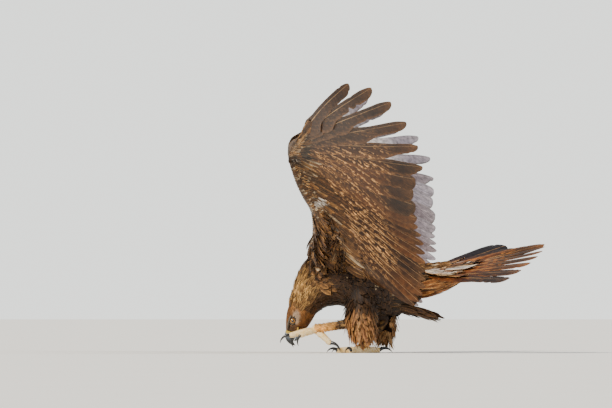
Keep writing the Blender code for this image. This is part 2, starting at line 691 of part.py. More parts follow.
def alula():
    """The three small feathers of the thumb, laid along the front of the hand."""
    def shaft(place, shares):
        root, direction, normal, _ = wing_quill(8.0 - 1.2 * place)
        lead = np.array(along(LEADING_EDGE, 8.0 - 1.2 * place))
        heading = unit(unit(FINGER - WRIST) * 0.75 + direction * 0.45)
        base = lead + (root - lead) * 0.35 + normal * (0.015 - 0.004 * place)
        reach = 0.085 + 0.012 * place
        return base + heading * (shares * reach)[:, None] + normal * (0.006 * shares)[:, None]

    return tier(shaft, range(3), COVERT_OUTLINE, -SHINGLE)


def tail_frame():
    across = np.array((0.0, math.cos(TAIL_ROLL), math.sin(TAIL_ROLL)))
    return across, unit(np.cross(TAIL_DIRECTION, across))


def tail_quill(share):
    """Root, direction and upper side of a tail feather. Share runs from -1 at the left edge to 1."""
    across, normal = tail_frame()
    angle = TAIL_SPREAD * share
    direction = unit(TAIL_DIRECTION * math.cos(angle) + across * math.sin(angle)
                     - normal * along(TAIL_SAG, share))
    root = TAIL_POINT + across * TAIL_ROOT_SPREAD * share
    return root, direction, square_to(normal, direction)


def tail_core():
    """The flesh in which the tail feathers are rooted."""
    across, normal = tail_frame()
    path = [TAIL_POINT + TAIL_DIRECTION * d - normal * 0.010 for d in (-0.020, 0.0, 0.022, 0.036)]
    rings = []
    angles = np.arange(10) * 2 * math.pi / 10
    for point, wide, thick in zip(path, (0.028, 0.034, 0.032, 0.020), (0.028, 0.026, 0.019, 0.008)):
        rings.append(point + across * (np.cos(angles) * wide)[:, None]
                     + normal * (np.sin(angles) * thick)[:, None])
    return tube(rings)


def undertail_core():
    """The down under the tail's root, in which the coverts there are rooted."""
    rows = smooth_rows(UNDERTAIL_STATIONS, 6)
    rings = []
    for share, size in ((0.0, 0.98), (0.27, 0.98), (0.48, 0.60)):
        back_x, back_z, belly_x, belly_z, half_width = row_at(rows, share)
        top, bottom = np.array((back_x, 0.0, back_z)), np.array((belly_x, 0.0, belly_z))
        shrink = (top - bottom) * (1 - size) / 2
        rings.append(guided_ring(top - shrink, bottom + shrink, half_width * size, 10))
    return tube(rings)


def tail_feathers():
    """The fanned tail. On each side every feather lies over the one outside it."""
    def shaft(share, shares):
        root, direction, normal = tail_quill(share)
        length = TAIL_LENGTH * (1 - 0.05 * share * share)
        side_lift = normal * SIDE_LIFT * np.sign(share)
        return root + side_lift + direction * (shares * length)[:, None]

    places = np.linspace(-1, 1, TAIL_FEATHERS)
    return (tier(shaft, places[places < 0], TAIL_OUTLINE, SHINGLE, TAIL_OVERLAP)
            + tier(shaft, places[places > 0], TAIL_OUTLINE, -SHINGLE, TAIL_OVERLAP))


def tail_coverts():
    """The coverts above and below the root of the tail."""
    def shaft(share, shares):
        root, direction, normal = tail_quill(share)
        return root + normal * TAIL_COVERT_LIFT + direction * (shares * TAIL_COVERT_LENGTH)[:, None]

    long_ones = body_shaft(UNDERTAIL_STATIONS, 0.0, 1.0, -0.003, 0.0)
    short_ones = body_shaft(UNDERTAIL_STATIONS, 0.0, 0.66, -0.001, 0.004)
    return (tier(shaft, np.linspace(-0.8, 0.9, TAIL_COVERTS), COVERT_OUTLINE, SLANT)
            + tier(long_ones, np.radians(UNDERTAIL_LONG), LOCK_OUTLINE, SLANT, LOCK_OVERLAP)
            + tier(short_ones, np.radians(UNDERTAIL_SHORT), LOCK_OUTLINE, SLANT, LOCK_OVERLAP))


def thigh_core(hip, hock, rows):
    """The drumstick, and a narrow core of down that reaches half way down the trousers."""
    path = smooth_rows((hip, (hip + hock) / 2, hock), 2)
    radii = np.interp(np.linspace(0, 1, len(path)), (0, 0.45, 1), (0.046, 0.040, 0.019))
    drumstick = swept_tube(path, radii, 0.8, ACROSS, 10)
    inner = np.array([row_at(rows, share) for share in (0.0, 0.25, 0.48, 0.60)])
    width = np.array((0.92, 0.86, 0.78, 0.42))
    return [drumstick, swept_tube(inner[:, :3], inner[:, 3] * width, TROUSER_DEPTH, ACROSS, 10)]


def trouser_feathers(rows):
    """Loose tapered feathers in tiers down the leg. They leave the core and hang over one another."""
    made = []
    for number, (start, end, count) in enumerate(TROUSER_TIERS):
        def shaft(angle, shares):
            points = []
            for share in shares:
                row = row_at(rows, start + (end - start) * share)
                out = np.array((math.cos(angle), math.sin(angle) * TROUSER_DEPTH, 0.0))
                points.append(row[:3] + out * (row[3] - 0.010 + 0.012 * share))
            return np.array(points)

        angles = 2 * math.pi * (np.arange(count) + 0.5 * (number % 2)) / count
        made += tier(shaft, angles, LOCK_OUTLINE, SLANT, LOCK_OVERLAP)
    return made


def shank_shape(hock, sole, grow=0.0):
    """The feathered shank from the hock to the foot."""
    path = smooth_rows((hock + (sole - hock) * 0.05, (hock + sole) / 2, sole), 2)
    radii = np.interp(np.linspace(0, 1, len(path)), (0, 0.5, 1), (0.0125, 0.0105, 0.0095))
    return swept_tube(path, radii + grow, 1.0, ACROSS, 10)


def toe_path(sole, direction, length, up):
    """A toe's line from the middle of the foot, arched over its joints."""
    shares = np.array(TOE_PROFILE)[:, 0]
    return (sole - up * TOE_DROP + direction * (length * shares)[:, None]
            + up * (TOE_ARCH * np.sin(math.pi * shares))[:, None])


def foot_shapes(sole, up, directions, grow=0.0):
    """The middle of the foot and its four toes. Plates step up along the upper side of each toe."""
    shapes = [ball(sole, PAD_RADIUS + grow, 10, 6)]
    widths, steps = np.array(TOE_PROFILE)[:, 1], np.array(TOE_PROFILE)[:, 2]
    sides = 6
    angles = np.arange(sides) * 2 * math.pi / sides + math.pi / 2
    for name, direction in directions.items():
        length, radius, _, _ = TOES[name]
        direction = unit(direction)
        lift = square_to(up, direction)
        side = np.cross(direction, lift)
        rings = []
        for point, width, step in zip(toe_path(sole, direction, length, lift), widths, steps):
            ring = point + (radius * width + grow) * (np.cos(angles)[:, None] * side
                                                      + np.sin(angles)[:, None] * lift)
            rings.append(ring + step * np.clip(np.sin(angles), 0, 1)[:, None] * lift)
        shapes.append(tube(rings))
    return shapes


def claw_shape(base, direction, up, length, radius, start_angle):
    """A claw: a cone bent on an arc towards the sole, from its flat base to its tip."""
    bend = length / CLAW_TURN
    shares = np.linspace(0, 1, 6)
    heading = start_angle - CLAW_TURN * shares
    run = bend * (math.sin(start_angle) - np.sin(heading))
    rise = bend * (np.cos(heading) - math.cos(start_angle))
    path = base + direction * run[:, None] + up * rise[:, None]
    radii = radius * (1 - shares) ** 0.8 + 0.0004
    return swept_tube(path, radii, 0.75, np.cross(direction, up), 5, direction)


def floor_cutter():
    """A block whose top is the floor."""
    corners = np.array(((-1.0, -1.0), (1.0, -1.0), (1.0, 1.0), (-1.0, 1.0))) * 0.3
    return tube([np.column_stack((corners, np.full(4, height))) for height in (-0.1, 0.0)])


def build_foot(side, sole, up, directions, claw_starts, skin, horn):
    """A foot of four toes with their claws. With no claw_starts it stands on the floor."""
    cutters = [] if claw_starts else [floor_cutter()]
    node(f"foot_{side}", foot_shapes(sole, up, directions), cutters, skin)
    for name, direction in directions.items():
        length, _, claw_length, claw_radius = TOES[name]
        direction = unit(direction)
        lift = square_to(up, direction)
        path = toe_path(sole, direction, length, lift)
        end = path[-1] + direction * GAP
        if claw_starts:
            start = math.radians(claw_starts[name])
        else:
            chord = claw_length / CLAW_TURN * 2 * math.sin(CLAW_TURN / 2)
            start = CLAW_TURN / 2 - math.asin((end[2] - CLAW_TIP_HEIGHT) / chord)
        claw = claw_shape(end, direction, lift, claw_length, claw_radius, start)
        node(f"claw_{side}_{name}", [claw], (), horn)


def build():
    for old in list(bpy.data.objects):
        bpy.data.objects.remove(old)
    feathers = finish_of("dark brown feathers", (0.12, 0.065, 0.032), 0.75)
    toe_skin = finish_of("yellow toe skin", (0.80, 0.55, 0.10), 0.5)
    horn = finish_of("black horn", (0.03, 0.03, 0.035), 0.25)
    iris = finish_of("amber iris", (0.25, 0.11, 0.03), 0.05)

    grown_torso = torso_core(GAP)
    node("torso", [torso_core()] + vent_feathers(), (), feathers)
    node("neck", [neck_core()] + hackles(), [grown_torso], feathers)
    build_head(feathers, horn, iris)

    wing_cutters = [grown_torso, tube(body_rings(NECK_STATIONS, 3, GAP))]
    for side, quills in (("left", LEFT_QUILLS), ("right", RIGHT_QUILLS)):
        wing = [arm_plate(), upper_arm()] + flight_feathers(quills) + wing_coverts(quills) + alula()
        if side == "right":
            wing = [mirrored(shape) for shape in wing]
        node(f"wing_{side}", wing, wing_cutters, feathers)
    tail = [tail_core(), undertail_core()] + tail_feathers() + tail_coverts()
    node("tail", tail, [grown_torso], feathers)

    for side, hip, hock, sole, trousers, up, toes in (
            ("left", LEFT_HIP, LEFT_HOCK, LEFT_SOLE, LEFT_TROUSERS, LEFT_FOOT_UP, LEFT_TOES),
            ("right", RIGHT_HIP, RIGHT_HOCK, RIGHT_SOLE, RIGHT_TROUSERS, UP, RIGHT_TOES)):
        rows = smooth_rows(trousers, 4)
        node(f"thigh_{side}", thigh_core(hip, hock, rows) + trouser_feathers(rows),
             [grown_torso, shank_shape(hock, sole, GAP)], feathers)
        node(f"shank_{side}", [shank_shape(hock, sole)], foot_shapes(sole, up, toes, GAP), feathers)

    build_foot("right", RIGHT_SOLE, UP, RIGHT_TOES, None, toe_skin, horn)
    build_foot("left", LEFT_SOLE, LEFT_FOOT_UP, LEFT_TOES, LEFT_CLAW_STARTS, toe_skin, horn)


build()
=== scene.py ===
import math

import bpy
import numpy as np
from mathutils import Matrix


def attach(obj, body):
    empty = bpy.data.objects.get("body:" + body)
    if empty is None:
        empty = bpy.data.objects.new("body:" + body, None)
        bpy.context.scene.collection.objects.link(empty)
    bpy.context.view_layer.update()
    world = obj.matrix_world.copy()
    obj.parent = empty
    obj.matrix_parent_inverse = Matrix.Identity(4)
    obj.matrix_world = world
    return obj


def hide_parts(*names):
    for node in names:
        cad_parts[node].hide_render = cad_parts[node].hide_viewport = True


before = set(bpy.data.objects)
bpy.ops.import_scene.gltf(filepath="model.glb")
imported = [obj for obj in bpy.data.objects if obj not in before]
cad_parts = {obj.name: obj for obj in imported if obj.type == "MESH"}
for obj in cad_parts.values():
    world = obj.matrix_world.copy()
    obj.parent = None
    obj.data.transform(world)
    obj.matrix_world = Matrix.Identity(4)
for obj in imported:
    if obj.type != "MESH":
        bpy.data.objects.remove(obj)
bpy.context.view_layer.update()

# The looks of a golden eagle, life size, in metres. It faces -X and its left side is -Y, towards the
# camera. A skin of worked-out surfaces carries every feather, and each feather is a closed thin vane.

ACROSS = np.array((0.0, 1.0, 0.0))
UP = np.array((0.0, 0.0, 1.0))
chance = np.random.default_rng(11)
# The side of a feather's patch on the unwrapped skin, and of a cell of the skin's remesh
BAKE_PATCH = 0.003
SKIN_CELL = 0.0032
# The camera: metres to a pixel of the frame, its width in pixels and the way to the bird
PIXEL, FRAME_WIDTH, CAMERA_AWAY = 0.0026, 612, 26.0
# The standing foot stays this far above the floor
FLOOR_GAP = 0.0002

# ---- The body: back x and z, belly x and z, and half the width, from the nape to the tail's root
NECK_UPPER = (-0.1755, 0.1664, -0.0884, 0.1196, 0.043)
NECK_LOWER = (-0.1638, 0.2050, -0.0676, 0.1235, 0.054)
NECK_BASE = (-0.1404, 0.2430, -0.0468, 0.1222, 0.067)
BREAST = (-0.0988, 0.2704, -0.0260, 0.1144, 0.078)
SHOULDERS = (-0.0494, 0.2782, 0.0000, 0.1040, 0.084)
BELLY = (0.0052, 0.2743, 0.0364, 0.0962, 0.083)
FLANKS = (0.0598, 0.2626, 0.0728, 0.0936, 0.076)
LOINS = (0.1066, 0.2520, 0.1066, 0.0988, 0.065)
RUMP = (0.1430, 0.2425, 0.1352, 0.1170, 0.050)
TAIL_ROOT = (0.1740, 0.2340, 0.1640, 0.1430, 0.036)
PAST_TAIL_ROOT = (0.2500, 0.2420, 0.2400, 0.1750, 0.030)
EYE_POINT = np.array((-0.1742, 0.0, 0.0832))
BILL_TILT = math.radians(18.4)
FORWARD = np.array((-math.sin(BILL_TILT), 0.0, -math.cos(BILL_TILT)))
CHINWARD = np.array((math.cos(BILL_TILT), 0.0, -math.sin(BILL_TILT)))
EYE_RADIUS = 0.0095
EYE_SPREAD = 0.0175
# Ahead of the eye, crown above it, throat below it, half width
HEAD_STATIONS = (
    (0.0300, 0.0095, 0.0280, 0.0130), (0.0280, 0.0100, 0.0285, 0.0135), (0.0200, 0.0125, 0.0320, 0.0170),
    (0.0100, 0.0160, 0.0365, 0.0215), (0.0000, 0.0190, 0.0420, 0.0258), (-0.0150, 0.0220, 0.0460, 0.0310),
    (-0.0300, 0.0235, 0.0500, 0.0345), (-0.0450, 0.0240, 0.0540, 0.0360),
)
CULMEN = ((0.0283, -0.0100), (0.0400, -0.0098), (0.0475, -0.0060), (0.0545, 0.0010),
          (0.0590, 0.0100), (0.0600, 0.0190), (0.0585, 0.0255))
UPPER_TOMIUM = ((0.0283, 0.0190), (0.0370, 0.0190), (0.0430, 0.0185), (0.0475, 0.0180),
                (0.0510, 0.0180), (0.0545, 0.0210), (0.0580, 0.0258))
UPPER_HALF_WIDTHS = (0.0135, 0.0118, 0.0098, 0.0078, 0.0056, 0.0034, 0.0008)
LOWER_TOMIUM = ((0.0283, 0.0196), (0.0370, 0.0196), (0.0440, 0.0192), (0.0480, 0.0190))
CHIN = ((0.0283, 0.0280), (0.0370, 0.0275), (0.0440, 0.0255), (0.0480, 0.0225))
LOWER_HALF_WIDTHS = (0.0105, 0.0090, 0.0065, 0.0030)
NOSTRIL = (0.0370, 0.0020, 0.0118)

# ---- The left wing. The right one mirrors its arm and has some quill directions and lengths of its own
SHOULDER = np.array((-0.0760, -0.0600, 0.2360))
ELBOW = np.array((-0.0694, -0.2140, 0.3285))
WRIST = np.array((-0.1629, -0.2760, 0.5055))
FINGER = np.array((-0.1380, -0.4150, 0.5597))
PRIMARIES, SECONDARIES, TERTIALS = 10, 12, 4
LAST_PLACE = PRIMARIES + SECONDARIES + TERTIALS - 1
# Past the last quill the wing runs on to the shoulder, at this place
INNER_PLACE = 29.0
QUILL_DIRECTIONS = {
    0: (0.330, -0.885, 0.330), 3: (0.545, -0.835, 0.070), 5: (0.710, -0.690, -0.140),
    7: (0.800, -0.520, -0.298), 9: (0.855, -0.230, -0.465), 12: (0.850, -0.030, -0.530),
    17: (0.775, 0.010, -0.632), 21: (0.690, 0.020, -0.720), 25: (0.760, 0.160, -0.630),
}
QUILL_LENGTHS = {
    0: 0.345, 1: 0.440, 2: 0.490, 3: 0.500, 4: 0.480, 5: 0.448, 6: 0.397,
    7: 0.372, 9: 0.364, 14: 0.366, 18: 0.350, 21: 0.304, 25: 0.200,
}
RIGHT_DIRECTIONS = {
    **QUILL_DIRECTIONS, 0: (0.375, -0.885, 0.345), 2: (0.440, -0.860, 0.100),
    3: (0.545, -0.835, 0.050), 5: (0.715, -0.690, -0.165),
}
RIGHT_LENGTHS = {**QUILL_LENGTHS, 4: 0.486, 5: 0.455, 6: 0.432, 7: 0.412, 9: 0.405, 14: 0.384, 18: 0.355}
LEADING_EDGE = {
    0: (-0.147, -0.405, 0.563), 4: (-0.170, -0.345, 0.549), 8: (-0.1765, -0.292, 0.522),
    10: (-0.1745, -0.276, 0.495), 13: (-0.160, -0.255, 0.445), 16: (-0.142, -0.232, 0.405),
    19: (-0.121, -0.195, 0.365), 22: (-0.1175, -0.150, 0.312), 25: (-0.129, -0.100, 0.276),
    29: (-0.136, -0.048, 0.252),
}
HAND_NORMAL = np.array((0.517, 0.484, 0.700))
ARM_NORMAL = np.array((0.307, 0.835, 0.455))
# The arm's thickness above and below the quills, at these shares of the way to their roots
ARM_SHARES = (0.0, 0.25, 0.65, 1.0)
ARM_ABOVE = (0.0015, 0.0090, 0.0110, 0.0065)
ARM_BELOW = (0.0015, 0.0105, 0.0140, 0.0085)
# Behind the arm the layer of coverts thins out to this height over the quills, along this length
VANE_HEIGHT, COVERT_FADE = 0.0012, 0.042
SHINGLE = math.radians(8)
FINGERS = 6
FINGER_NOTCH = 0.32
NOTCH_STEP = 0.11
FINGER_HALF_WIDTH = 0.041
QUILL_BOW = 0.022
QUILL_OVERLAP = 1.05

# ---- The tail
TAIL_DIRECTION = np.array((0.969, 0.0, 0.247))
TAIL_POINT = np.array((0.1750, 0.0, 0.2050))
TAIL_FEATHERS = 12
TAIL_LENGTH = 0.315
TAIL_SPREAD = math.radians(46)
TAIL_ROLL = math.radians(10.6)
TAIL_SAG = {-1.0: 0.073, -0.64: 0.030, -0.27: 0.006, 0.0: 0.008, 0.27: 0.040,
            0.64: 0.087, 0.82: 0.102, 1.0: 0.068}
TAIL_ROOT_SPREAD = 0.024
UNDERTAIL_STATIONS = ((0.150, 0.232, 0.150, 0.136, 0.044), (0.190, 0.236, 0.182, 0.148, 0.046),
                      (0.235, 0.242, 0.224, 0.164, 0.044), (0.285, 0.248, 0.262, 0.186, 0.036))
VENT_STATIONS = ((0.100, 0.160, 0.100, 0.1010, 0.046), (0.130, 0.150, 0.128, 0.1020, 0.044),
                 (0.168, 0.136, 0.162, 0.0950, 0.040), (0.208, 0.122, 0.190, 0.0900, 0.034))

# ---- The legs. Down the trousers: a point and the half width there
LEFT_HIP = np.array((0.010, -0.050, 0.165))
LEFT_HOCK = np.array((-0.008, -0.072, 0.080))
LEFT_SOLE = np.array((-0.1133, -0.0370, 0.0625))
RIGHT_HIP = np.array((0.045, 0.050, 0.160))
RIGHT_HOCK = np.array((0.062, 0.026, 0.082))
RIGHT_SOLE = np.array((0.0, 0.0, 0.0105))
LEFT_TROUSERS = ((0.004, -0.062, 0.150, 0.034), (0.004, -0.076, 0.105, 0.042),
                 (0.006, -0.080, 0.060, 0.038), (0.012, -0.080, 0.020, 0.026))
RIGHT_TROUSERS = ((0.055, 0.045, 0.150, 0.034), (0.062, 0.052, 0.105, 0.032),
                  (0.064, 0.054, 0.060, 0.028), (0.062, 0.055, 0.022, 0.018))
TROUSER_DEPTH = 0.62
# Toes: length from the middle of the foot, radius at the root, and the claw's length and radius
TOES = {"hind": (0.052, 0.0085, 0.040, 0.0060), "inner": (0.056, 0.0085, 0.042, 0.0056),
        "middle": (0.070, 0.0082, 0.037, 0.0050), "outer": (0.050, 0.0076, 0.032, 0.0045)}
TOE_ARCH = 0.0015
TOE_DROP = 0.004
CLAW_TURN = math.radians(100)
CLAW_TIP_HEIGHT = 0.0015
RIGHT_TOES = {"hind": (0.97, 0.22, 0.0), "inner": (-0.40, -0.92, 0.0),
              "middle": (-0.84, -0.54, 0.0), "outer": (-0.97, 0.25, 0.0)}
LEFT_FOOT_UP = np.array((0.15, -0.25, 0.95))
LEFT_TOES = {"hind": (0.70, -0.15, -0.62), "inner": (-0.90, 0.22, -0.15),
             "middle": (-0.97, -0.14, -0.19), "outer": (-0.79, -0.54, -0.27)}
LEFT_CLAW_STARTS = {"hind": 50, "inner": -20, "middle": 20, "outer": -25}


# ======== Curves and surfaces ========

def unit(vectors):
    """Vectors at unit length."""
    vectors = np.asarray(vectors, float)
    return vectors / np.maximum(np.linalg.norm(vectors, axis=-1, keepdims=True), 1e-12)


def square_to(vectors, axes):
    """The part of each vector that is square to its unit axis, at unit length."""
    return unit(vectors - axes * (vectors * axes).sum(-1, keepdims=True))


def smooth_rows(rows, steps):
    """Rows of numbers with others between them, on a Catmull-Rom curve."""
    rows = np.asarray(rows, float)
    padded = np.vstack((2 * rows[0] - rows[1], rows, 2 * rows[-1] - rows[-2]))
    a, b, c, d = (padded[k:k + len(rows) - 1, None] for k in range(4))
    t = (np.arange(steps) / steps)[None, :, None]
    between = 0.5 * (2 * b + (c - a) * t + (2 * a - 5 * b + 4 * c - d) * t * t
                     + (3 * b - a - 3 * c + d) * t ** 3)
    return np.vstack((between.reshape(-1, rows.shape[1]), rows[-1]))


def rows_at(rows, places):
    """Rows read at places from 0 at the first to 1 at the last, each column on straight lines."""
    run = np.linspace(0, 1, len(rows))
    return np.stack([np.interp(places, run, column) for column in rows.T], -1)


def curve_through(table):
    """A function of place through a table's entries: cubic pieces with the entries' mean slopes."""
    places = np.array(sorted(table), float)
    values = np.array([np.atleast_1d(table[p]) for p in sorted(table)], float)
    slopes = np.gradient(values, places, axis=0)

    def at(place):
        """The values at places, each a cubic of the way between two entries."""
        place = np.asarray(place, float)
        i = np.clip(np.searchsorted(places, place) - 1, 0, len(places) - 2)
        span = (places[i + 1] - places[i])[..., None]
        t = (place - places[i])[..., None] / span
        return ((2 * t ** 3 - 3 * t ** 2 + 1) * values[i] + (t ** 3 - 2 * t ** 2 + t) * span * slopes[i]
                + (3 * t ** 2 - 2 * t ** 3) * values[i + 1] + (t ** 3 - t ** 2) * span * slopes[i + 1])
    return at


def in_head(ahead, chinward, across=0.0):
    """Points of the head from their places: ahead of the eye, towards the chin, to the right."""
    ahead, chinward, across = (np.asarray(v, float)[..., None] for v in (ahead, chinward, across))
    return EYE_POINT + FORWARD * ahead + CHINWARD * chinward + ACROSS * across


def head_row(ahead, crown, throat, half_width):
    """A row of the body for a station of the head."""
    top, bottom = in_head(ahead, -crown), in_head(ahead, throat)
    return (top[0], top[2], bottom[0], bottom[2], half_width)


BODY = smooth_rows([head_row(*row) for row in HEAD_STATIONS]
                   + [NECK_UPPER, NECK_LOWER, NECK_BASE, BREAST, SHOULDERS, BELLY, FLANKS, LOINS, RUMP,
                      TAIL_ROOT, PAST_TAIL_ROOT], 8)
_middle = np.column_stack(((BODY[:, 0] + BODY[:, 2]) / 2, (BODY[:, 1] + BODY[:, 3]) / 2))
# How far along the body's middle line each row of BODY lies, from the bill's base
BODY_RUN = np.concatenate(((0,), np.cumsum(np.linalg.norm(np.diff(_middle, axis=0), axis=1))))
STATION_RUN = BODY_RUN[::8]
HEAD_END, NECK_END, TAIL_END = STATION_RUN[7], STATION_RUN[10], STATION_RUN[17]


def ellipse_points(rows, angles, grow):
    """Points on the ellipses that rows of the body give: the middle, plus the cosine of the angle
    times half the way from belly to back, plus its sine times the half width to the right."""
    back = np.stack((rows[..., 0], np.zeros_like(rows[..., 0]), rows[..., 1]), -1)
    belly = np.stack((rows[..., 2], np.zeros_like(rows[..., 2]), rows[..., 3]), -1)
    half = (back - belly) / 2
    out = unit(half)
    cosine, sine = np.cos(angles)[..., None], np.sin(angles)[..., None]
    grow = np.asarray(grow, float)[..., None]
    return ((back + belly) / 2 + (half + out * grow) * cosine
            + ACROSS * (rows[..., 4:5] + grow) * sine)


def body_point(run, angle, grow=0.0):
    """The body's surface at a distance along its middle line and an angle from the back."""
    run, angle = np.broadcast_arrays(run, angle)
    rows = np.stack([np.interp(run, BODY_RUN, column) for column in BODY.T], -1)
    return ellipse_points(rows, angle, grow)


def normals_of(surface, u, v, step=0.0005, turn=0.01):
    """Outward normals of a surface of run and angle, from its two slopes."""
    along = surface(u + step, v) - surface(u - step, v)
    round_it = surface(u, v + turn) - surface(u, v - turn)
    return unit(np.cross(round_it, along))


def wing_quill(places, directions, lengths):
    """Roots, directions, upper sides and lengths of quills of the left wing, for any places. Roots
    lie on three straight lines: finger to wrist to elbow, and on towards the shoulder."""
    places = np.asarray(places, float)
    hand = FINGER + (WRIST - FINGER) * ((places + 0.5) / PRIMARIES)[..., None]
    fore = WRIST + (ELBOW - WRIST) * ((places - PRIMARIES + 0.5) / SECONDARIES)[..., None]
    share = (places - PRIMARIES - SECONDARIES + 0.5) / TERTIALS
    share = np.where(places > LAST_PLACE, np.interp(places, (25, 29), (3.5 / 4, 1 / 0.55)), share)
    upper = ELBOW + (SHOULDER - ELBOW) * 0.55 * share[..., None]
    root = np.where((places < PRIMARIES)[..., None], hand,
                    np.where((places < PRIMARIES + SECONDARIES)[..., None], fore, upper))
    held = np.minimum(places, LAST_PLACE)
    direction = unit(directions(held))
    turn = np.clip((places - 4) / 8, 0, 1)[..., None]
    normal = square_to(HAND_NORMAL * (1 - turn) + ARM_NORMAL * turn, direction)
    return root, direction, normal, lengths(held)[..., 0]


WINGS = {"left": (curve_through(QUILL_DIRECTIONS), curve_through(QUILL_LENGTHS)),
         "right": (curve_through(RIGHT_DIRECTIONS), curve_through(RIGHT_LENGTHS))}
lead_at = curve_through(LEADING_EDGE)


def wing_point(places, reach, above, quills, lift=0.0):
    """The arm's surface and the layer of coverts behind it. Its point lies reach metres from the
    front edge, first straight to the quill's root and then along the quill, and off that line by
    the arm's thickness, which thins out over the quills behind it."""
    places, reach, lift = np.broadcast_arrays(places, reach, lift)
    root, direction, normal, _ = wing_quill(places, *quills)
    lead = lead_at(places)
    chord = np.linalg.norm(root - lead, axis=-1)
    ahead = np.minimum(reach, chord)
    line = (lead + (root - lead) * (ahead / chord)[..., None]
            + direction * np.maximum(reach - chord, 0)[..., None])
    height = np.interp(ahead / chord, ARM_SHARES, ARM_ABOVE if above else ARM_BELOW)
    behind = np.maximum(reach - chord, 0)
    height = np.where(behind > 0, VANE_HEIGHT + (height - VANE_HEIGHT) * np.exp(-behind / COVERT_FADE),
                      height) + lift
    side = 1.0 if above else -1.0
    return line + normal * (height * side)[..., None], normal * side


def tail_frame():
    """The direction across the rolled tail and its upper side."""
    across = np.array((0.0, math.cos(TAIL_ROLL), math.sin(TAIL_ROLL)))
    return across, unit(np.cross(TAIL_DIRECTION, across))


sag_at = curve_through(TAIL_SAG)


def tail_quill(shares):
    """Roots, directions and upper sides of tail feathers, from -1 at the left edge to 1."""
    shares = np.asarray(shares, float)
    across, normal = tail_frame()
    angle = (TAIL_SPREAD * shares)[..., None]
    direction = unit(TAIL_DIRECTION * np.cos(angle) + across * np.sin(angle) - normal * sag_at(shares))
    root = TAIL_POINT + across * TAIL_ROOT_SPREAD * shares[..., None]
    return root, direction, square_to(np.broadcast_to(normal, direction.shape), direction)


# ======== Meshes ========

def piece_of(name, points, faces, materials, picks=None):
    """A piece of the bird from points and triangles, smooth but for edges sharper than 60 degrees."""
    mesh = bpy.data.meshes.new(name)
    mesh.vertices.add(len(points))
    mesh.vertices.foreach_set("co", np.asarray(points, np.float32).ravel())
    mesh.loops.add(faces.size)
    mesh.loops.foreach_set("vertex_index", np.asarray(faces, np.int32).ravel())
    mesh.polygons.add(len(faces))
    mesh.polygons.foreach_set("loop_start", np.arange(len(faces), dtype=np.int32) * faces.shape[1])
    for finish in materials:
        mesh.materials.append(finish)
    if picks is not None:
        mesh.polygons.foreach_set("material_index", np.asarray(picks, np.int32))
    mesh.update(calc_edges=True)
    mesh.polygons.foreach_set("use_smooth", np.ones(len(faces), bool))
    mesh.set_sharp_from_angle(angle=math.radians(60))
    made = bpy.data.objects.new(name, mesh)
    bpy.context.scene.collection.objects.link(made)
    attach(made, "root")
    return made


def read_of(items, key, kind=np.float32):
    """Three numbers of each item of a mesh, as rows."""
    found = np.zeros(len(items) * 3, kind)
    items.foreach_get(key, found)
    return found.reshape(-1, 3)


def grid_faces(rows, columns, wrap=True):
    """Triangles of a grid of points, joined round its columns where it wraps."""
    i, j = np.meshgrid(np.arange(rows - 1), np.arange(columns if wrap else columns - 1), indexing="ij")
    k = (j + 1) % columns
    a, b, c, d = (i * columns + j, i * columns + k, (i + 1) * columns + k, (i + 1) * columns + j)
    return np.vstack((np.stack((a, b, c), -1).reshape(-1, 3), np.stack((a, c, d), -1).reshape(-1, 3)))


def outwards(points, faces):
    """The faces, turned round if they enclose a negative volume."""
    a, b, c = (points[faces[:, k]] for k in range(3))
    return faces if np.einsum("ij,ij->i", a, np.cross(b, c)).sum() > 0 else faces[:, ::-1]


def closed_loft(rings):
    """A closed body through a stack of rings of points, with a fan at each end."""
    count, sides = rings.shape[:2]
    points = np.vstack((rings.reshape(-1, 3), rings[0].mean(0), rings[-1].mean(0)))
    j = np.arange(sides)
    k = (j + 1) % sides
    last = (count - 1) * sides
    caps = np.vstack((np.stack((np.full(sides, count * sides), k, j), -1),
                      np.stack((np.full(sides, count * sides + 1), last + j, last + k), -1)))
    faces = np.vstack((grid_faces(count, sides), caps))
    return points, outwards(points, faces)


def joined(shapes):
    """Several shapes as one list of points and one of faces."""
    starts = np.cumsum([0] + [len(points) for points, _ in shapes[:-1]])
    return (np.vstack([points for points, _ in shapes]),
            np.vstack([faces + start for (_, faces), start in zip(shapes, starts)]))


def round_path(path, radii, sides, normal, flatness=1.0):
    """A tube: rings square to a path, their radius times the cosine of the angle to the side and
    times the sine and the flatness along the normal."""
    path = np.asarray(path, float)
    tangent = unit(np.gradient(path, axis=0))
    lift = square_to(np.broadcast_to(normal, path.shape), tangent)
    side = np.cross(tangent, lift)
    angles = np.arange(sides) * 2 * math.pi / sides
    radii = np.asarray(radii, float)[:, None, None]
    return path[:, None] + radii * (np.cos(angles)[None, :, None] * side[:, None]
                                    + flatness * np.sin(angles)[None, :, None] * lift[:, None])


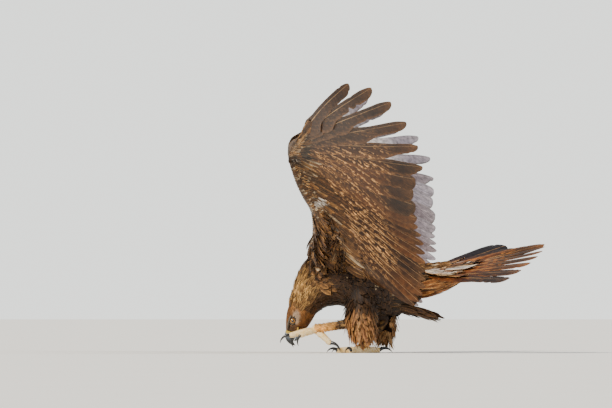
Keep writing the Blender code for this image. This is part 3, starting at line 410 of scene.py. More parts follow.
def coat(name, shafts, normals, fronts, tints, marks, bake, finish, columns=3, cup=0.18, thick=0.0004,
         sweep=0.0, reverse=None):
    """Many feathers as one piece. shafts are the points down each feather's middle, normals its upper
    side, and fronts the half width there to each side (count, rows, 2). A feather is a closed lens: its
    edges drop below the shaft by cup times the square of the way out, its upper and lower faces part by
    thick times one less that square, and both meet at the rim, the root and the tip. tints are the
    colours down the shaft and marks three numbers of the pattern. bake is the root's place on the
    unwrapped skin. reverse gives the lower face its own colours and finish."""
    count, rows = shafts.shape[:2]
    tangent = unit(np.gradient(shafts, axis=1))
    side = unit(np.cross(normals, tangent))
    out = np.linspace(-1, 1, columns)
    width = np.where(out[None, None] < 0, fronts[..., :1], fronts[..., 1:])
    arch = (1 - out ** 2)[None, None, :, None]
    base = (shafts[:, :, None] + side[:, :, None] * (out * width)[..., None]
            - normals[:, :, None] * (cup * np.abs(out) ** 2 * width)[..., None]
            + tangent[:, :, None] * (sweep * np.abs(out) * width)[..., None])
    taper = np.clip(np.minimum(np.arange(rows), np.arange(rows)[::-1]), 0, 1)[None, :, None, None]
    half = normals[:, :, None] * thick * arch * taper
    upper, lower = base + half, base - half
    # One number for each point of the two grids. The lower grid borrows the upper one's rim
    index = np.arange(rows * columns).reshape(rows, columns)
    under = index.copy()
    inner = (rows - 2) * (columns - 2)
    under[1:-1, 1:-1] = rows * columns + np.arange(inner).reshape(rows - 2, columns - 2)
    points = np.concatenate((upper.reshape(count, -1, 3),
                             lower[:, 1:-1, 1:-1].reshape(count, -1, 3)), 1)
    i, j = np.meshgrid(np.arange(rows - 1), np.arange(columns - 1), indexing="ij")
    left = (j < columns // 2)[..., None]
    faces = []
    for grid, flip in ((index, False), (under, True)):
        a, b, c, d = grid[i, j], grid[i, j + 1], grid[i + 1, j + 1], grid[i + 1, j]
        one = np.where(left, np.stack((a, b, c), -1), np.stack((a, b, d), -1)).reshape(-1, 3)
        two = np.where(left, np.stack((a, c, d), -1), np.stack((b, c, d), -1)).reshape(-1, 3)
        pair = np.vstack((one, two))
        faces.append(pair[:, ::-1] if flip else pair)
    template = np.vstack(faces)
    per = points.shape[1]
    corners = points[0][template]
    if np.einsum("ij,ij->i", corners[:, 0] - points[0].mean(0),
                 np.cross(corners[:, 1] - points[0].mean(0), corners[:, 2] - points[0].mean(0))).sum() < 0:
        template = template[:, ::-1]
    every = (template[None] + (np.arange(count) * per)[:, None, None]).reshape(-1, 3)
    picks = None if reverse is None else np.tile(np.repeat((0, 1), len(template) // 2), count)
    made = piece_of(name, points.reshape(-1, 3), every, [finish, reverse[1]] if reverse else [finish], picks)
    mesh = made.data
    across, down = np.meshgrid((out + 1) / 2, np.linspace(0, 1, rows))
    local = np.stack((across, down), -1)
    local = np.concatenate((local.reshape(-1, 2), local[1:-1, 1:-1].reshape(-1, 2)))
    every_corner = local[template.ravel()]
    layer = mesh.uv_layers.new(name="Feather")
    layer.data.foreach_set("uv", np.tile(every_corner, (count, 1)).astype(np.float32).ravel())
    bake_layer = mesh.uv_layers.new(name="OFBake")
    spots = bake[0][:, None] + (every_corner[None] - 0.5) * bake[1]
    bake_layer.data.foreach_set("uv", spots.astype(np.float32).ravel())
    marks = np.repeat(marks[:, None], rows, 1)
    for label, values, below in (("Tint", tints, reverse[0] if reverse else tints), ("Marks", marks, marks)):
        grid, low = (np.repeat(v[:, :, None], columns, 2) for v in (values, below))
        grid, inner = low.copy(), grid[:, 1:-1, 1:-1]
        grid[:, 1:-1, 1:-1] = inner
        whole = np.concatenate((grid.reshape(count, -1, 3), low[:, 1:-1, 1:-1].reshape(count, -1, 3)), 1)
        colours = np.concatenate((whole, np.ones((*whole.shape[:2], 1))), -1)
        attribute = mesh.attributes.new(label, "FLOAT_COLOR", "POINT")
        attribute.data.foreach_set("color", colours.astype(np.float32).ravel())
    return made


# ======== Colours ========

def linear(code):
    """An sRGB hex colour turned to linear light."""
    parts = np.array([int(code[k:k + 2], 16) / 255 for k in (1, 3, 5)])
    return np.where(parts <= 0.04045, parts / 12.92, ((parts + 0.055) / 1.055) ** 2.4)


DARK_BROWN = linear("#1d110a")
BLACK_BROWN = linear("#0f0906")
BROWN = linear("#38210f")
WARM_BROWN = linear("#5c3517")
TAWNY = linear("#9c6428")
BUFF = linear("#cb9555")
CREAM = linear("#e6cda6")
GOLD = linear("#a86c26")
PALE_GOLD = linear("#e2ab5c")
RUST = linear("#924a15")
ORANGE = linear("#c8701f")
PINK_BROWN = linear("#7d4b30")
GREY_BROWN = linear("#4a311a")
# painted sheen: grey-violet, the sky reflected on glossy dark feathers
SHEEN_VIOLET_GREY = linear("#716a78")
WHITE = linear("#efe7dc")
PEACH = linear("#dc9350")


def mixed(first, second, share):
    """Colours between two, by share."""
    share = np.clip(np.asarray(share, float), 0, 1)[..., None]
    return first * (1 - share) + second * share


def step(low, high, values):
    """A smooth rise from 0 at low to 1 at high."""
    t = np.clip((values - low) / (high - low), 0, 1)
    return t * t * (3 - 2 * t)


def add(tree, kind, links=(), **settings):
    """A shader node with its settings, and links to its inputs from sockets or from the first outputs
    of nodes."""
    made = tree.nodes.new("ShaderNode" + kind)
    for key, value in settings.items():
        if key.startswith("in_"):
            made.inputs[int(key[3:])].default_value = value
        else:
            setattr(made, key, value)
    for target, source in links:
        tree.links.new(getattr(source, "outputs", (source,))[0], made.inputs[target])
    return made


def new_finish(name):
    """A new material, its nodes and its surface shader."""
    made = bpy.data.materials.new(name)
    made.use_nodes = True
    return made, made.node_tree, made.node_tree.nodes["Principled BSDF"]


def stained_finish(name, scale, detail, dark, pale, roughness, span=(0.0, 1.0), dents=None, ior=None):
    """A surface whose colour wanders between two by a noise of so many waves to the metre, over a span
    of that noise. A pair of roughnesses follows the noise, as do dents of a strength and a depth."""
    made, tree, surface = new_finish(name)
    space = add(tree, "TexCoord")
    clouds = add(tree, "TexNoise", [(0, space.outputs["Object"])], in_2=scale, in_3=detail)
    shades = add(tree, "ValToRGB", [(0, clouds)])
    for element, place, code in zip(shades.color_ramp.elements, span, (dark, pale)):
        element.position, element.color = place, (*linear(code), 1)
    tree.links.new(shades.outputs[0], surface.inputs["Base Color"])
    if isinstance(roughness, tuple):
        gloss = add(tree, "MapRange", [(0, clouds)], in_3=roughness[0], in_4=roughness[1])
        tree.links.new(gloss.outputs[0], surface.inputs["Roughness"])
    else:
        surface.inputs["Roughness"].default_value = roughness
    if dents:
        bump = add(tree, "Bump", [("Height", clouds)], in_0=dents[0], in_1=dents[1])
        tree.links.new(bump.outputs[0], surface.inputs["Normal"])
    if ior:
        surface.inputs["IOR"].default_value = ior
    return made


def vane_finish(name, barbs, shaft_colour, shaft_width, pale, streak, roughness, sheen, mottle=0.0):
    """A feather's vane, keratin barbs hooked together on a shaft. Barbs slant away from the shaft,
    so the eye sees fine slanting lines, a pale or dark shaft, worn paler edges and a soft sheen.
    Marks: the strength of the pale edge, of the dark centre or bars, and a number of its own."""
    made, tree, surface = new_finish(name)
    tint = add(tree, "Attribute", attribute_name="Tint")
    marks = add(tree, "Attribute", attribute_name="Marks")
    parts = add(tree, "SeparateColor", [(0, marks.outputs["Color"])])
    place = add(tree, "UVMap", uv_map="Feather")
    xyz = add(tree, "SeparateXYZ", [(0, place)])
    centred = add(tree, "Math", [(0, xyz.outputs[0])], operation="SUBTRACT", in_1=0.5)
    away = add(tree, "Math", [(0, centred)], operation="ABSOLUTE")
    # Barbs: lines of v less the way out from the shaft, a number of them down the feather
    slant = add(tree, "Math", [(0, away), (2, xyz.outputs[1])],
                operation="MULTIPLY_ADD", in_1=-0.35)
    shift = add(tree, "Math", [(0, parts.outputs[2]), (2, slant)],
                operation="MULTIPLY_ADD", in_1=7.0)
    lines = add(tree, "TexNoise", [(1, shift)], noise_dimensions="1D", in_2=barbs,
                in_3=2.0)
    space = add(tree, "TexCoord")
    patches = add(tree, "TexNoise", [(0, space.outputs["Object"])], in_2=90.0, in_3=3.0)
    # Pale worn edge, ragged by the barbs
    reach = add(tree, "Math", [(0, lines), (2, away)],
                operation="MULTIPLY_ADD", in_1=0.22)
    side_edge = add(tree, "MapRange", [(0, reach)], in_1=0.46, in_2=0.60)
    tip = add(tree, "Math", [(0, lines), (2, xyz.outputs[1])],
              operation="MULTIPLY_ADD", in_1=0.10)
    tip_edge = add(tree, "MapRange", [(0, tip)], in_1=0.86, in_2=1.02)
    edge = add(tree, "Math", [(0, side_edge), (1, tip_edge)],
               operation="MAXIMUM")
    edge_by = add(tree, "Math", [(0, edge), (1, parts.outputs[0])],
                  operation="MULTIPLY")
    pale_mix = add(tree, "Mix", [(0, edge_by), (6, tint.outputs["Color"])],
                   data_type="RGBA", in_7=(*linear(pale), 1))
    # Dark centre along the shaft
    core = add(tree, "MapRange", [(0, reach)], in_1=0.34, in_2=0.14)
    core_by = add(tree, "Math", [(0, core), (1, parts.outputs[1])],
                  operation="MULTIPLY")
    dark_mix = add(tree, "Mix", [(0, core_by), (6, pale_mix.outputs[2])],
                   data_type="RGBA", in_7=(*linear(streak), 1))
    last = dark_mix
    if mottle:
        # Marbled bars across the vane: waves down the feather, bent by noise
        bend = add(tree, "Math", [(0, patches), (2, shift)],
                   operation="MULTIPLY_ADD", in_1=0.11)
        waves = add(tree, "TexNoise", [(1, bend)], noise_dimensions="1D",
                    in_2=mottle, in_3=1.0)
        band = add(tree, "MapRange", [(0, waves)], in_1=0.53, in_2=0.59)
        fade = add(tree, "MapRange", [(0, xyz.outputs[1])], in_1=0.76, in_2=0.60)
        broken = add(tree, "MapRange", [(0, patches)], in_1=0.42, in_2=0.56)
        kept = add(tree, "Math", [(0, band), (1, broken)], operation="MULTIPLY")
        amount = add(tree, "Math", [(0, kept), (1, fade)],
                     operation="MULTIPLY")
        strength = add(tree, "Math", [(0, amount), (1, parts.outputs[1])],
                       operation="MULTIPLY")
        last = add(tree, "Mix", [(0, strength), (6, pale_mix.outputs[2])],
                   data_type="RGBA", in_7=(*linear(streak), 1))
    shaft = add(tree, "MapRange", [(0, away)], in_1=shaft_width * 1.5,
                in_2=shaft_width * 0.6)
    shaft_by = add(tree, "Math", [(0, shaft)], operation="MULTIPLY", in_1=0.75)
    shaft_mix = add(tree, "Mix", [(0, shaft_by), (6, last.outputs[2])],
                    data_type="RGBA", in_7=(*linear(shaft_colour), 1))
    grain = add(tree, "MapRange", [(0, lines)], in_1=0.3, in_2=0.7, in_3=0.48, in_4=1.48)
    blotch = add(tree, "MapRange", [(0, patches)], in_1=0.3, in_2=0.7, in_3=0.58,
                 in_4=1.40)
    tone = add(tree, "Math", [(0, grain), (1, blotch)],
               operation="MULTIPLY")
    shaded = add(tree, "VectorMath", [(0, shaft_mix.outputs[2]), (3, tone)],
                 operation="SCALE")
    tree.links.new(shaded.outputs[0], surface.inputs["Base Color"])
    rough = add(tree, "MapRange", [(0, lines)], in_3=roughness - 0.1,
                in_4=roughness + 0.12)
    tree.links.new(rough.outputs[0], surface.inputs["Roughness"])
    bump = add(tree, "Bump", [("Height", lines)], in_0=0.35, in_1=0.0006)
    tree.links.new(bump.outputs[0], surface.inputs["Normal"])
    surface.inputs["Sheen Weight"].default_value = sheen
    surface.inputs["Sheen Roughness"].default_value = 0.4
    surface.inputs["Specular IOR Level"].default_value = 0.22
    surface.inputs["IOR"].default_value = 1.54
    return made


# Vanes of the body: loose barbs, so soft and matt, with a dark middle and worn tawny edges
body_vane = vane_finish("contour feather keratin, loose barbs", 26, "#6b4a30", 0.012, "#c8955c",
                        "#0d0704", 0.60, 0.06)
# Hackles of the nape: narrow and pointed, gold with dark centres, glossy enough to catch the light
hackle_vane = vane_finish("hackle feather keratin, gold edged", 20, "#2c1808", 0.03, "#f0c680",
                          "#2a1608", 0.48, 0.08)
# Coverts of the wing: firmer vanes, dark with tawny edges
covert_vane = vane_finish("covert feather keratin, firm vanes", 30, "#7a5a3c", 0.014, "#e0aa6a",
                          "#0c0704", 0.50, 0.06)
# Quills: stiff hooked vanes with a low gloss, marbled towards the root
quill_vane = vane_finish("flight feather keratin, hooked vanes", 120, "#b08a5c", 0.010, "#8a5f38",
                         "#cf9a60", 0.42, 0.05, 26)
tail_vane = vane_finish("tail feather keratin, hooked vanes", 100, "#9a7448", 0.012, "#b8743a",
                        "#cc7c2c", 0.42, 0.05, 18)


# ======== Skin ========

def coat_depth(run):
    """How far the skin lies under the solids' outline: little on the face, more on the body."""
    return np.interp(run, (0, 0.04, HEAD_END, HEAD_END + 0.06, 0.3, TAIL_END), (0.0006, 0.0015, 0.004,
                                                                                0.006, 0.009, 0.006))


def skin_shapes():
    """The flesh as closed lofts that run into one another: trunk, neck and head, arms, legs, tail."""
    shapes = []
    run, angle = np.meshgrid(np.linspace(0, TAIL_END + 0.02, 110), np.arange(48) * 2 * math.pi / 48,
                             indexing="ij")
    shapes.append(closed_loft(body_point(run, angle, -coat_depth(run))))
    for side, mirror in (("left", 1), ("right", -1)):
        quills = WINGS[side]
        places = np.linspace(0, INNER_PLACE, 60)
        share = np.concatenate((np.linspace(0.12, 1, 12), np.linspace(1, 0.12, 12)))
        root, _, normal, _ = wing_quill(places, *quills)
        lead = lead_at(places)
        upper = np.interp(share, ARM_SHARES, ARM_ABOVE) - 0.003
        lower = -np.interp(share, ARM_SHARES, ARM_BELOW) + 0.003
        high = np.where(np.arange(24) < 12, upper, lower)
        rings = (lead[:, None] + (root - lead)[:, None] * share[None, :, None]
                 + normal[:, None] * high[None, :, None])
        shapes.append(closed_loft(rings * (1, mirror, 1)))
        path = smooth_rows((SHOULDER + (SHOULDER - ELBOW) * 0.25, SHOULDER, ELBOW), 6)
        radii = np.interp(np.linspace(0, 1, len(path)), (0, 0.5, 1), (0.029, 0.029, 0.017))
        shapes.append(closed_loft(round_path(path, radii, 24, ARM_NORMAL, 0.6) * (1, mirror, 1)))
    for hip, hock, sole in ((LEFT_HIP, LEFT_HOCK, LEFT_SOLE), (RIGHT_HIP, RIGHT_HOCK, RIGHT_SOLE)):
        path = smooth_rows((hip, (hip + hock) / 2, hock), 8)
        radii = np.interp(np.linspace(0, 1, len(path)), (0, 0.45, 1), (0.042, 0.034, 0.013))
        shapes.append(closed_loft(round_path(path, radii, 24, ACROSS, 0.8)))
        path = smooth_rows((hock, (hock + sole) / 2, sole), 8)
        radii = np.interp(np.linspace(0, 1, len(path)), (0, 0.5, 0.85, 1), (0.0095, 0.0075, 0.0078, 0.009))
        shapes.append(closed_loft(round_path(path, radii, 20, ACROSS, 1.0)))
    across, normal = tail_frame()
    path = [TAIL_POINT + TAIL_DIRECTION * d - normal * 0.008 for d in (-0.02, 0.0, 0.022, 0.04)]
    angles = np.arange(20) * 2 * math.pi / 20
    rings = [point + across * (np.cos(angles) * wide)[:, None] + normal * (np.sin(angles) * deep)[:, None]
             for point, wide, deep in zip(path, (0.026, 0.032, 0.030, 0.016), (0.024, 0.022, 0.014, 0.004))]
    shapes.append(closed_loft(np.array(rings)))
    return shapes


# Skin under feathers: thin and dull, a dark grey-brown that is painted shade, so that any gap in the coat
# reads as shade
bare_skin = stained_finish("bird skin, thin and matt, under the coat", 400.0, 4.0, "#1c120c", "#3c291c", 0.8,
                           dents=(0.3, 0.0008))

# Toe skin: yellow plates with a slight gloss, paled to near white in patches as a painted highlight of
# strong sun, with painted shade, darker and more orange, in the folds between small round scales
toe_skin, tree, surface = new_finish("raptor toe skin, dry horny scales")
space = add(tree, "TexCoord")
scales = add(tree, "TexVoronoi", [(0, space.outputs["Object"])], in_2=620.0,
             feature="DISTANCE_TO_EDGE")
folds = add(tree, "MapRange", [(0, scales)], in_1=0.0, in_2=0.22)
# painted highlight: a noise that spreads the toe colour between pale yellow and near white
highlight_noise = add(tree, "TexNoise", [(0, space.outputs["Object"])], in_2=120.0, in_3=4.0)
shades = add(tree, "ValToRGB", [(0, highlight_noise)])
shades.color_ramp.elements[0].position = 0.3
shades.color_ramp.elements[0].color = (*linear("#fbdc8e"), 1)
shades.color_ramp.elements[1].position = 0.7
shades.color_ramp.elements[1].color = (*linear("#fffbea"), 1)
# painted shade: the folds between the scales darker and more orange
fold_shade_mix = add(tree, "Mix", [(0, folds), (7, shades)], data_type="RGBA",
           in_6=(*linear("#e6bb6c"), 1))
tree.links.new(fold_shade_mix.outputs[2], surface.inputs["Base Color"])
dents = add(tree, "Bump", [("Height", folds)], in_0=0.6, in_1=0.0005)
tree.links.new(dents.outputs[0], surface.inputs["Normal"])
surface.inputs["Roughness"].default_value = 0.48


def foot_shapes(sole, up, directions, flat):
    """The middle of a foot and its toes. A toe's ring is round, its upper side steps up at each of
    its plates by a saw wave of the way along, and its underside swells into a pad at each joint by a
    squared cosine. On the standing foot the underside is held at the floor."""
    angles = np.arange(24) * 2 * math.pi / 24
    slopes = np.linspace(-0.97, 0.97, 14) * math.pi / 2
    pad = sole + 0.0115 * np.stack((np.cos(slopes)[:, None] * np.cos(angles),
                                    np.repeat(np.sin(slopes)[:, None], 24, 1),
                                    np.cos(slopes)[:, None] * np.sin(angles)), -1)
    shapes = [pad]
    for name, direction in directions.items():
        length, radius, _, _ = TOES[name]
        direction = unit(direction)
        lift = square_to(up, direction)
        side = np.cross(direction, lift)
        share = np.linspace(0, 1, 90)
        line = (sole - up * TOE_DROP + direction * (length * share)[:, None]
                + lift * (TOE_ARCH * np.sin(math.pi * share))[:, None])
        width = radius * np.interp(share, (0, 0.36, 0.6, 0.9, 1.0), (0.98, 1.0, 0.90, 0.84, 0.70))
        plates = 0.0009 * ((share * length / 0.0042) % 1.0) * step(0.22, 0.34, share)
        swell = 0.0011 * np.cos(share * math.pi * 3.5) ** 2 * step(0.2, 0.35, share)
        above, below = np.clip(np.sin(angles), 0, 1), np.clip(-np.sin(angles), 0, 1)
        ring = (line[:, None] + width[:, None, None] * (np.cos(angles)[None, :, None] * side
                                                        + np.sin(angles)[None, :, None] * lift)
                + (plates[:, None] * above ** 0.6)[..., None] * lift
                - (swell[:, None] * below)[..., None] * lift)
        shapes.append(ring)
    shapes = [closed_loft(ring) for ring in shapes]
    if flat:
        for points, _ in shapes:
            points[:, 2] = np.maximum(points[:, 2], FLOOR_GAP)
    return shapes


def build_skin():
    """The lofts are fused by a voxel remesh and smoothed, then the toes join the same piece."""
    points, faces = joined(skin_shapes())
    rough = bpy.data.meshes.new("rough skin")
    rough.from_pydata(points.tolist(), [], faces.tolist())
    holder = bpy.data.objects.new("rough skin", rough)
    bpy.context.scene.collection.objects.link(holder)
    remesh = holder.modifiers.new("fuse", "REMESH")
    remesh.mode = "VOXEL"
    remesh.voxel_size = SKIN_CELL
    soften = holder.modifiers.new("soften", "SMOOTH")
    soften.factor = 0.5
    soften.iterations = 2
    bpy.context.view_layer.update()
    fused = bpy.data.meshes.new_from_object(holder.evaluated_get(bpy.context.evaluated_depsgraph_get()))
    bpy.data.objects.remove(holder)
    fused.calc_loop_triangles()
    body_points = read_of(fused.vertices, "co").astype(float)
    directions = read_of(fused.vertices, "normal").astype(float)
    triangles = read_of(fused.loop_triangles, "vertices", np.int32)
    toes = (foot_shapes(RIGHT_SOLE, UP, RIGHT_TOES, True)
            + foot_shapes(LEFT_SOLE, unit(LEFT_FOOT_UP), LEFT_TOES, False))
    points, faces = joined([(body_points, triangles)] + toes)
    picks = (np.arange(len(faces)) >= len(triangles)).astype(int)
    skin = piece_of("skin", points, faces, [bare_skin, toe_skin], picks)
    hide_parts("torso", "neck", "head", "wing_left", "wing_right", "tail", "thigh_left",
                "thigh_right", "shank_left", "shank_right", "foot_left", "foot_right")
    return body_points, directions


SKIN_POINTS, SKIN_NORMALS = build_skin()


# ======== Coat of the body ========

def spread_rows(first, last, gap_at, around_at):
    """Places of feathers in rows: run from first to last with a gap that changes with it, and round
    the body at even angles, each row half a gap on from the last, all a little out of line."""
    runs, angles = [], []
    run, number = first, 0
    while run < last:
        count = int(around_at(run))
        found = (np.arange(count) + 0.5 * (number % 2)) * 2 * math.pi / count
        angles.append(found + chance.normal(0, 0.22, count) * 2 * math.pi / count)
        runs.append(np.full(count, run) + chance.normal(0, 0.22, count) * gap_at(run))
        run += gap_at(run)
        number += 1
    return np.concatenate(runs), np.concatenate(angles) % (2 * math.pi)


def outline_widths(shares, points):
    """Half widths down a feather by share of its length, on straight lines between points."""
    table = np.array(points)
    return np.interp(shares, table[:, 0], table[:, 1])


BLUNT = ((0, 0.30), (0.35, 0.85), (0.65, 1.0), (0.86, 0.80), (1, 0.16))
POINTED = ((0, 0.35), (0.4, 1.0), (0.7, 0.75), (0.9, 0.32), (1, 0.04))
SHARES = np.array((0.0, 0.25, 0.52, 0.76, 0.92, 1.0))


def body_shafts(runs, angles, lengths, sink, rise, drift=0.0):
    """Shafts that lie down the body from their roots. The height over the skin goes from sink at the
    root towards rise by the power 1.3 of the share and droops by its seventh, and the angle
    drifts on by it."""
    scale = np.linalg.norm(body_point(runs + 0.004, angles) - body_point(runs - 0.004, angles),
                           axis=-1) / 0.008
    run = runs[:, None] + (lengths / np.maximum(scale, 0.3))[:, None] * SHARES
    angle = angles[:, None] + np.asarray(drift)[..., None] * SHARES
    height = -coat_depth(runs)[:, None] + sink + (rise - sink)[:, None] * (SHARES ** 1.3 - 0.6 * SHARES ** 7)
    points = body_point(run, angle, height)
    return points, normals_of(body_point, run, angle)


def stacked(rows):
    """Rows of feathers, each a tuple of arrays, joined end to end: one array for each place of the tuple."""
    return (np.concatenate(values) for values in zip(*rows))


def feather_fronts(widths, outline, ragged=0.10):
    """Half widths to both sides down each feather, ragged at random."""
    base = outline_widths(SHARES, outline)
    noise = 1 + chance.normal(0, ragged, (len(widths), len(SHARES), 2))
    return widths[:, None, None] * base[None, :, None] * noise


def near(angle, centre, width):
    """1 where an angle is at the centre, falling to 0 at the width away from it, round the circle."""
    away = np.abs((angle - centre + math.pi) % (2 * math.pi) - math.pi)
    return np.clip(1 - away / width, 0, 1)


def body_colours(runs, angles):
    """The markings: brown crown and face, golden nape and neck sides, dark brown body, mixed almost to
    black under the breast and belly as painted shade. Also a random number each, and how much of the nape
    and the underside each has."""
    count = len(runs)
    own = chance.random(count)
    low = np.clip(near(angles, math.pi, 2.6) * 1.7, 0, 1)
    back = np.clip(near(angles, 0.0, 1.95) * 2.2, 0, 1)
    base = mixed(DARK_BROWN, BROWN, 0.25 + 0.75 * own)
    base = mixed(base, WARM_BROWN, 0.35 * chance.random(count))
    # painted shade: the underside from breast to belly mixed nearly to black
    base = mixed(base, BLACK_BROWN, 0.92 * low * step(0.22, 0.34, runs) * (1 - step(0.50, 0.56, runs)))
    head = 1 - step(HEAD_END - 0.02, HEAD_END + 0.015, runs)
    nape = (step(HEAD_END - 0.040, HEAD_END - 0.005, runs) * (1 - step(NECK_END - 0.075, NECK_END - 0.018,
                                                                      runs)) * back)
    base = mixed(base, mixed(GOLD, WARM_BROWN, own), 0.85 * nape * (0.15 + 0.85 * chance.random(count)))
    crown = mixed(mixed(BROWN, WARM_BROWN, own), TAWNY, 0.12)
    base = mixed(base, crown, head * (1 - nape) * 0.9)
    return base, own, nape, low


def body_bake(runs, angles):
    """Places on the body's skin unrolled: the angle across and the run up."""
    return np.stack((0.02 + 0.96 * angles / (2 * math.pi), 0.02 + 0.96 * runs / (TAIL_END + 0.05)),
                    -1), BAKE_PATCH


def build_head_coat():
    """Tiny scale-like feathers, smallest on the face, that leave the eyes and the gape free."""
    runs, angles = spread_rows(0.0015, HEAD_END - 0.004,
                               lambda run: np.interp(run, (0, 0.08), (0.0019, 0.0040)),
                               lambda run: np.interp(run, (0, 0.03, 0.08), (34, 56, 58)))
    lengths = np.interp(runs, (0, 0.03, 0.08),
                        (0.0065, 0.0095, 0.0170)) * (1 + chance.normal(0, 0.12, len(runs)))
    widths = np.interp(runs, (0, 0.03, 0.08), (0.0013, 0.0023, 0.0036))
    shafts, normals = body_shafts(runs, angles, lengths, 0.0002,
                                  np.interp(runs, (0, 0.08), (0.0010, 0.0024)))
    clear = np.ones(len(runs), bool)
    for side in (-1, 1):
        eye = in_head(0.0, 0.0, side * (EYE_SPREAD + 0.006))
        clear &= np.linalg.norm(shafts - eye, axis=2).min(1) > 0.0096
    place = shafts[:, 0] - EYE_POINT
    ahead, chin = place @ FORWARD, place @ CHINWARD
    gape = (np.abs(chin - 0.0193) < 0.0022) & (ahead > 0.010)
    keep = clear & ~gape
    runs, angles, widths, shafts, normals = (v[keep] for v in (runs, angles, widths, shafts, normals))
    ahead, chin = ahead[keep], chin[keep]
    base, own, nape, _ = body_colours(runs, angles)
    ring = np.hypot(ahead / 1.25 + 0.001, chin)
    base = mixed(base, linear("#a59684"), 0.80 * (1 - step(0.0115, 0.0195, ring))
                 * step(-0.004, 0.004, chin + 0.004))
    lores = step(0.010, 0.016, ahead) * near(chin, 0.006, 0.016)
    base = mixed(base, linear("#2a2724"), 0.85 * np.clip(lores * 1.8, 0, 1))
    tips = mixed(base, TAWNY, 0.30 + 0.4 * nape)
    tints = mixed(base[:, None], tips[:, None], SHARES ** 1.5)
    marks = np.column_stack((0.22 + 0.45 * nape, 0.20 + 0.4 * nape, own))
    made = coat("coat_head", shafts, normals, feather_fronts(widths, BLUNT, 0.08), tints, marks,
                body_bake(runs, angles), body_vane, thick=0.00022)


def build_neck_coat():
    """Hackles: long, narrow and pointed, gold over the nape and brown round the throat."""
    runs, angles = spread_rows(HEAD_END - 0.018, NECK_END + 0.030, lambda run: 0.0052,
                               lambda run: np.interp(run, (HEAD_END, NECK_END + 0.03), (50, 62)))
    lengths = np.interp(runs, (HEAD_END, NECK_END), (0.028, 0.050)) * (1 + chance.normal(0, 0.12, len(runs)))
    widths = np.interp(runs, (HEAD_END, NECK_END), (0.0036, 0.0060)) * (1 + chance.normal(0, 0.1, len(runs)))
    lift = 0.003 + 0.0070 * chance.random(len(runs)) ** 1.5
    shafts, normals = body_shafts(runs, angles, lengths, 0.0, lift, chance.normal(0, 0.09, len(runs)))
    base, own, nape, _ = body_colours(runs, angles)
    pale = nape * (0.05 + 0.95 * chance.random(len(runs)))
    tips = mixed(base, PALE_GOLD, 0.95 * pale ** 0.8)
    # darker towards the root: the hackles' own dark bases, deepened as painted shade where the feathers
    # above cover them
    roots = mixed(base, DARK_BROWN, 0.80)
    tints = mixed(roots[:, None], tips[:, None], SHARES ** 1.1)
    marks = np.column_stack((0.06 + 0.94 * pale, 0.45 + 0.5 * pale, own))
    made = coat("coat_neck", shafts, normals, feather_fronts(widths, POINTED, 0.10), tints, marks,
                body_bake(runs, angles), hackle_vane, thick=0.0003, sweep=0.25)


def build_trunk_coat():
    """Broad feathers in many tiers over back, breast, flanks and belly, soft and a little ragged."""
    runs, angles = spread_rows(NECK_END - 0.004, TAIL_END + 0.004, lambda run: 0.0074, lambda run: 66)
    lengths = (0.042 + 0.016 * near(angles, 0, 1.6)) * (1 + chance.normal(0, 0.15, len(runs)))
    widths = (0.0068 + 0.0035 * near(angles, 0, 1.6)) * (1 + chance.normal(0, 0.12, len(runs)))
    lift = 0.0018 + 0.0055 * chance.random(len(runs)) ** 2 + 0.002 * near(angles, math.pi, 1.5)
    shafts, normals = body_shafts(runs, angles, lengths, 0.0, lift, chance.normal(0, 0.12, len(runs)))
    base, own, nape, low = body_colours(runs, angles)
    # painted shade: the trunk darker all over and darker still on the underside, where pale tips and edges
    # are also fewer
    base = mixed(base, BLACK_BROWN, 0.40 + 0.30 * low)
    pick = chance.random(len(runs))
    spots = (pick < 0.03) * (1 - near(angles, math.pi, 1.2))
    tips = mixed(base, mixed(WARM_BROWN, BUFF, 0.7 * own), 0.60 * chance.random(len(runs)) ** 2
                 * (1 - 0.8 * low))
    tips = mixed(tips, CREAM, spots * 0.5)
    tints = mixed(base[:, None], tips[:, None], SHARES ** 1.4)
    edge = (0.12 + 0.80 * chance.random(len(runs)) ** 2) * (1 - 0.65 * low) + 0.3 * nape
    marks = np.column_stack((edge, 0.55 - 0.3 * nape, own))
    made = coat("coat_trunk", shafts, normals, feather_fronts(widths, BLUNT, 0.13), tints, marks,
                body_bake(runs, angles), body_vane, thick=0.0004, sweep=0.15)


build_head_coat()
build_neck_coat()
build_trunk_coat()


# ======== Wings ========

def quill_outline(place, shares):
    """Half widths of a flight feather before and behind its shaft. The outer primaries narrow past a
    notch and end round; the others widen slowly to a rounded tip."""
    if place < FINGERS:
        notch = FINGER_NOTCH + NOTCH_STEP * place
        front = np.interp(shares, (0, notch - 0.08, notch + 0.05, 0.90, 1), (0.10, 0.32, 0.22, 0.24, 0.20))
        back = np.interp(shares, (0, 0.12, notch - 0.06, notch + 0.07, 0.90, 1),
                         (0.10, 0.60, 0.90, 0.56, 0.52, 0.46))
    else:
        front = np.interp(shares, (0, 0.15, 0.5, 0.9, 1), (0.12, 0.28, 0.36, 0.38, 0.34))
        back = np.interp(shares, (0, 0.12, 0.45, 0.86, 1), (0.15, 0.45, 0.66, 0.80, 0.70))
    end = np.sqrt(np.clip(1 - np.clip((shares - 0.90) / 0.10, 0, 1) ** 2, 0.004, 1))
    return np.stack((front, back), -1) * end[:, None]


MIRROR = {"left": 1, "right": -1}


def mirror_piece(made, mirror):
    """Carries a piece of the left wing to the right: Y changes sign and the faces turn round."""
    if mirror > 0:
        return
    mesh = made.data
    points = read_of(mesh.vertices, "co") * np.array((1, -1, 1), np.float32)
    mesh.vertices.foreach_set("co", points.ravel())
    mesh.flip_normals()
    mesh.update()


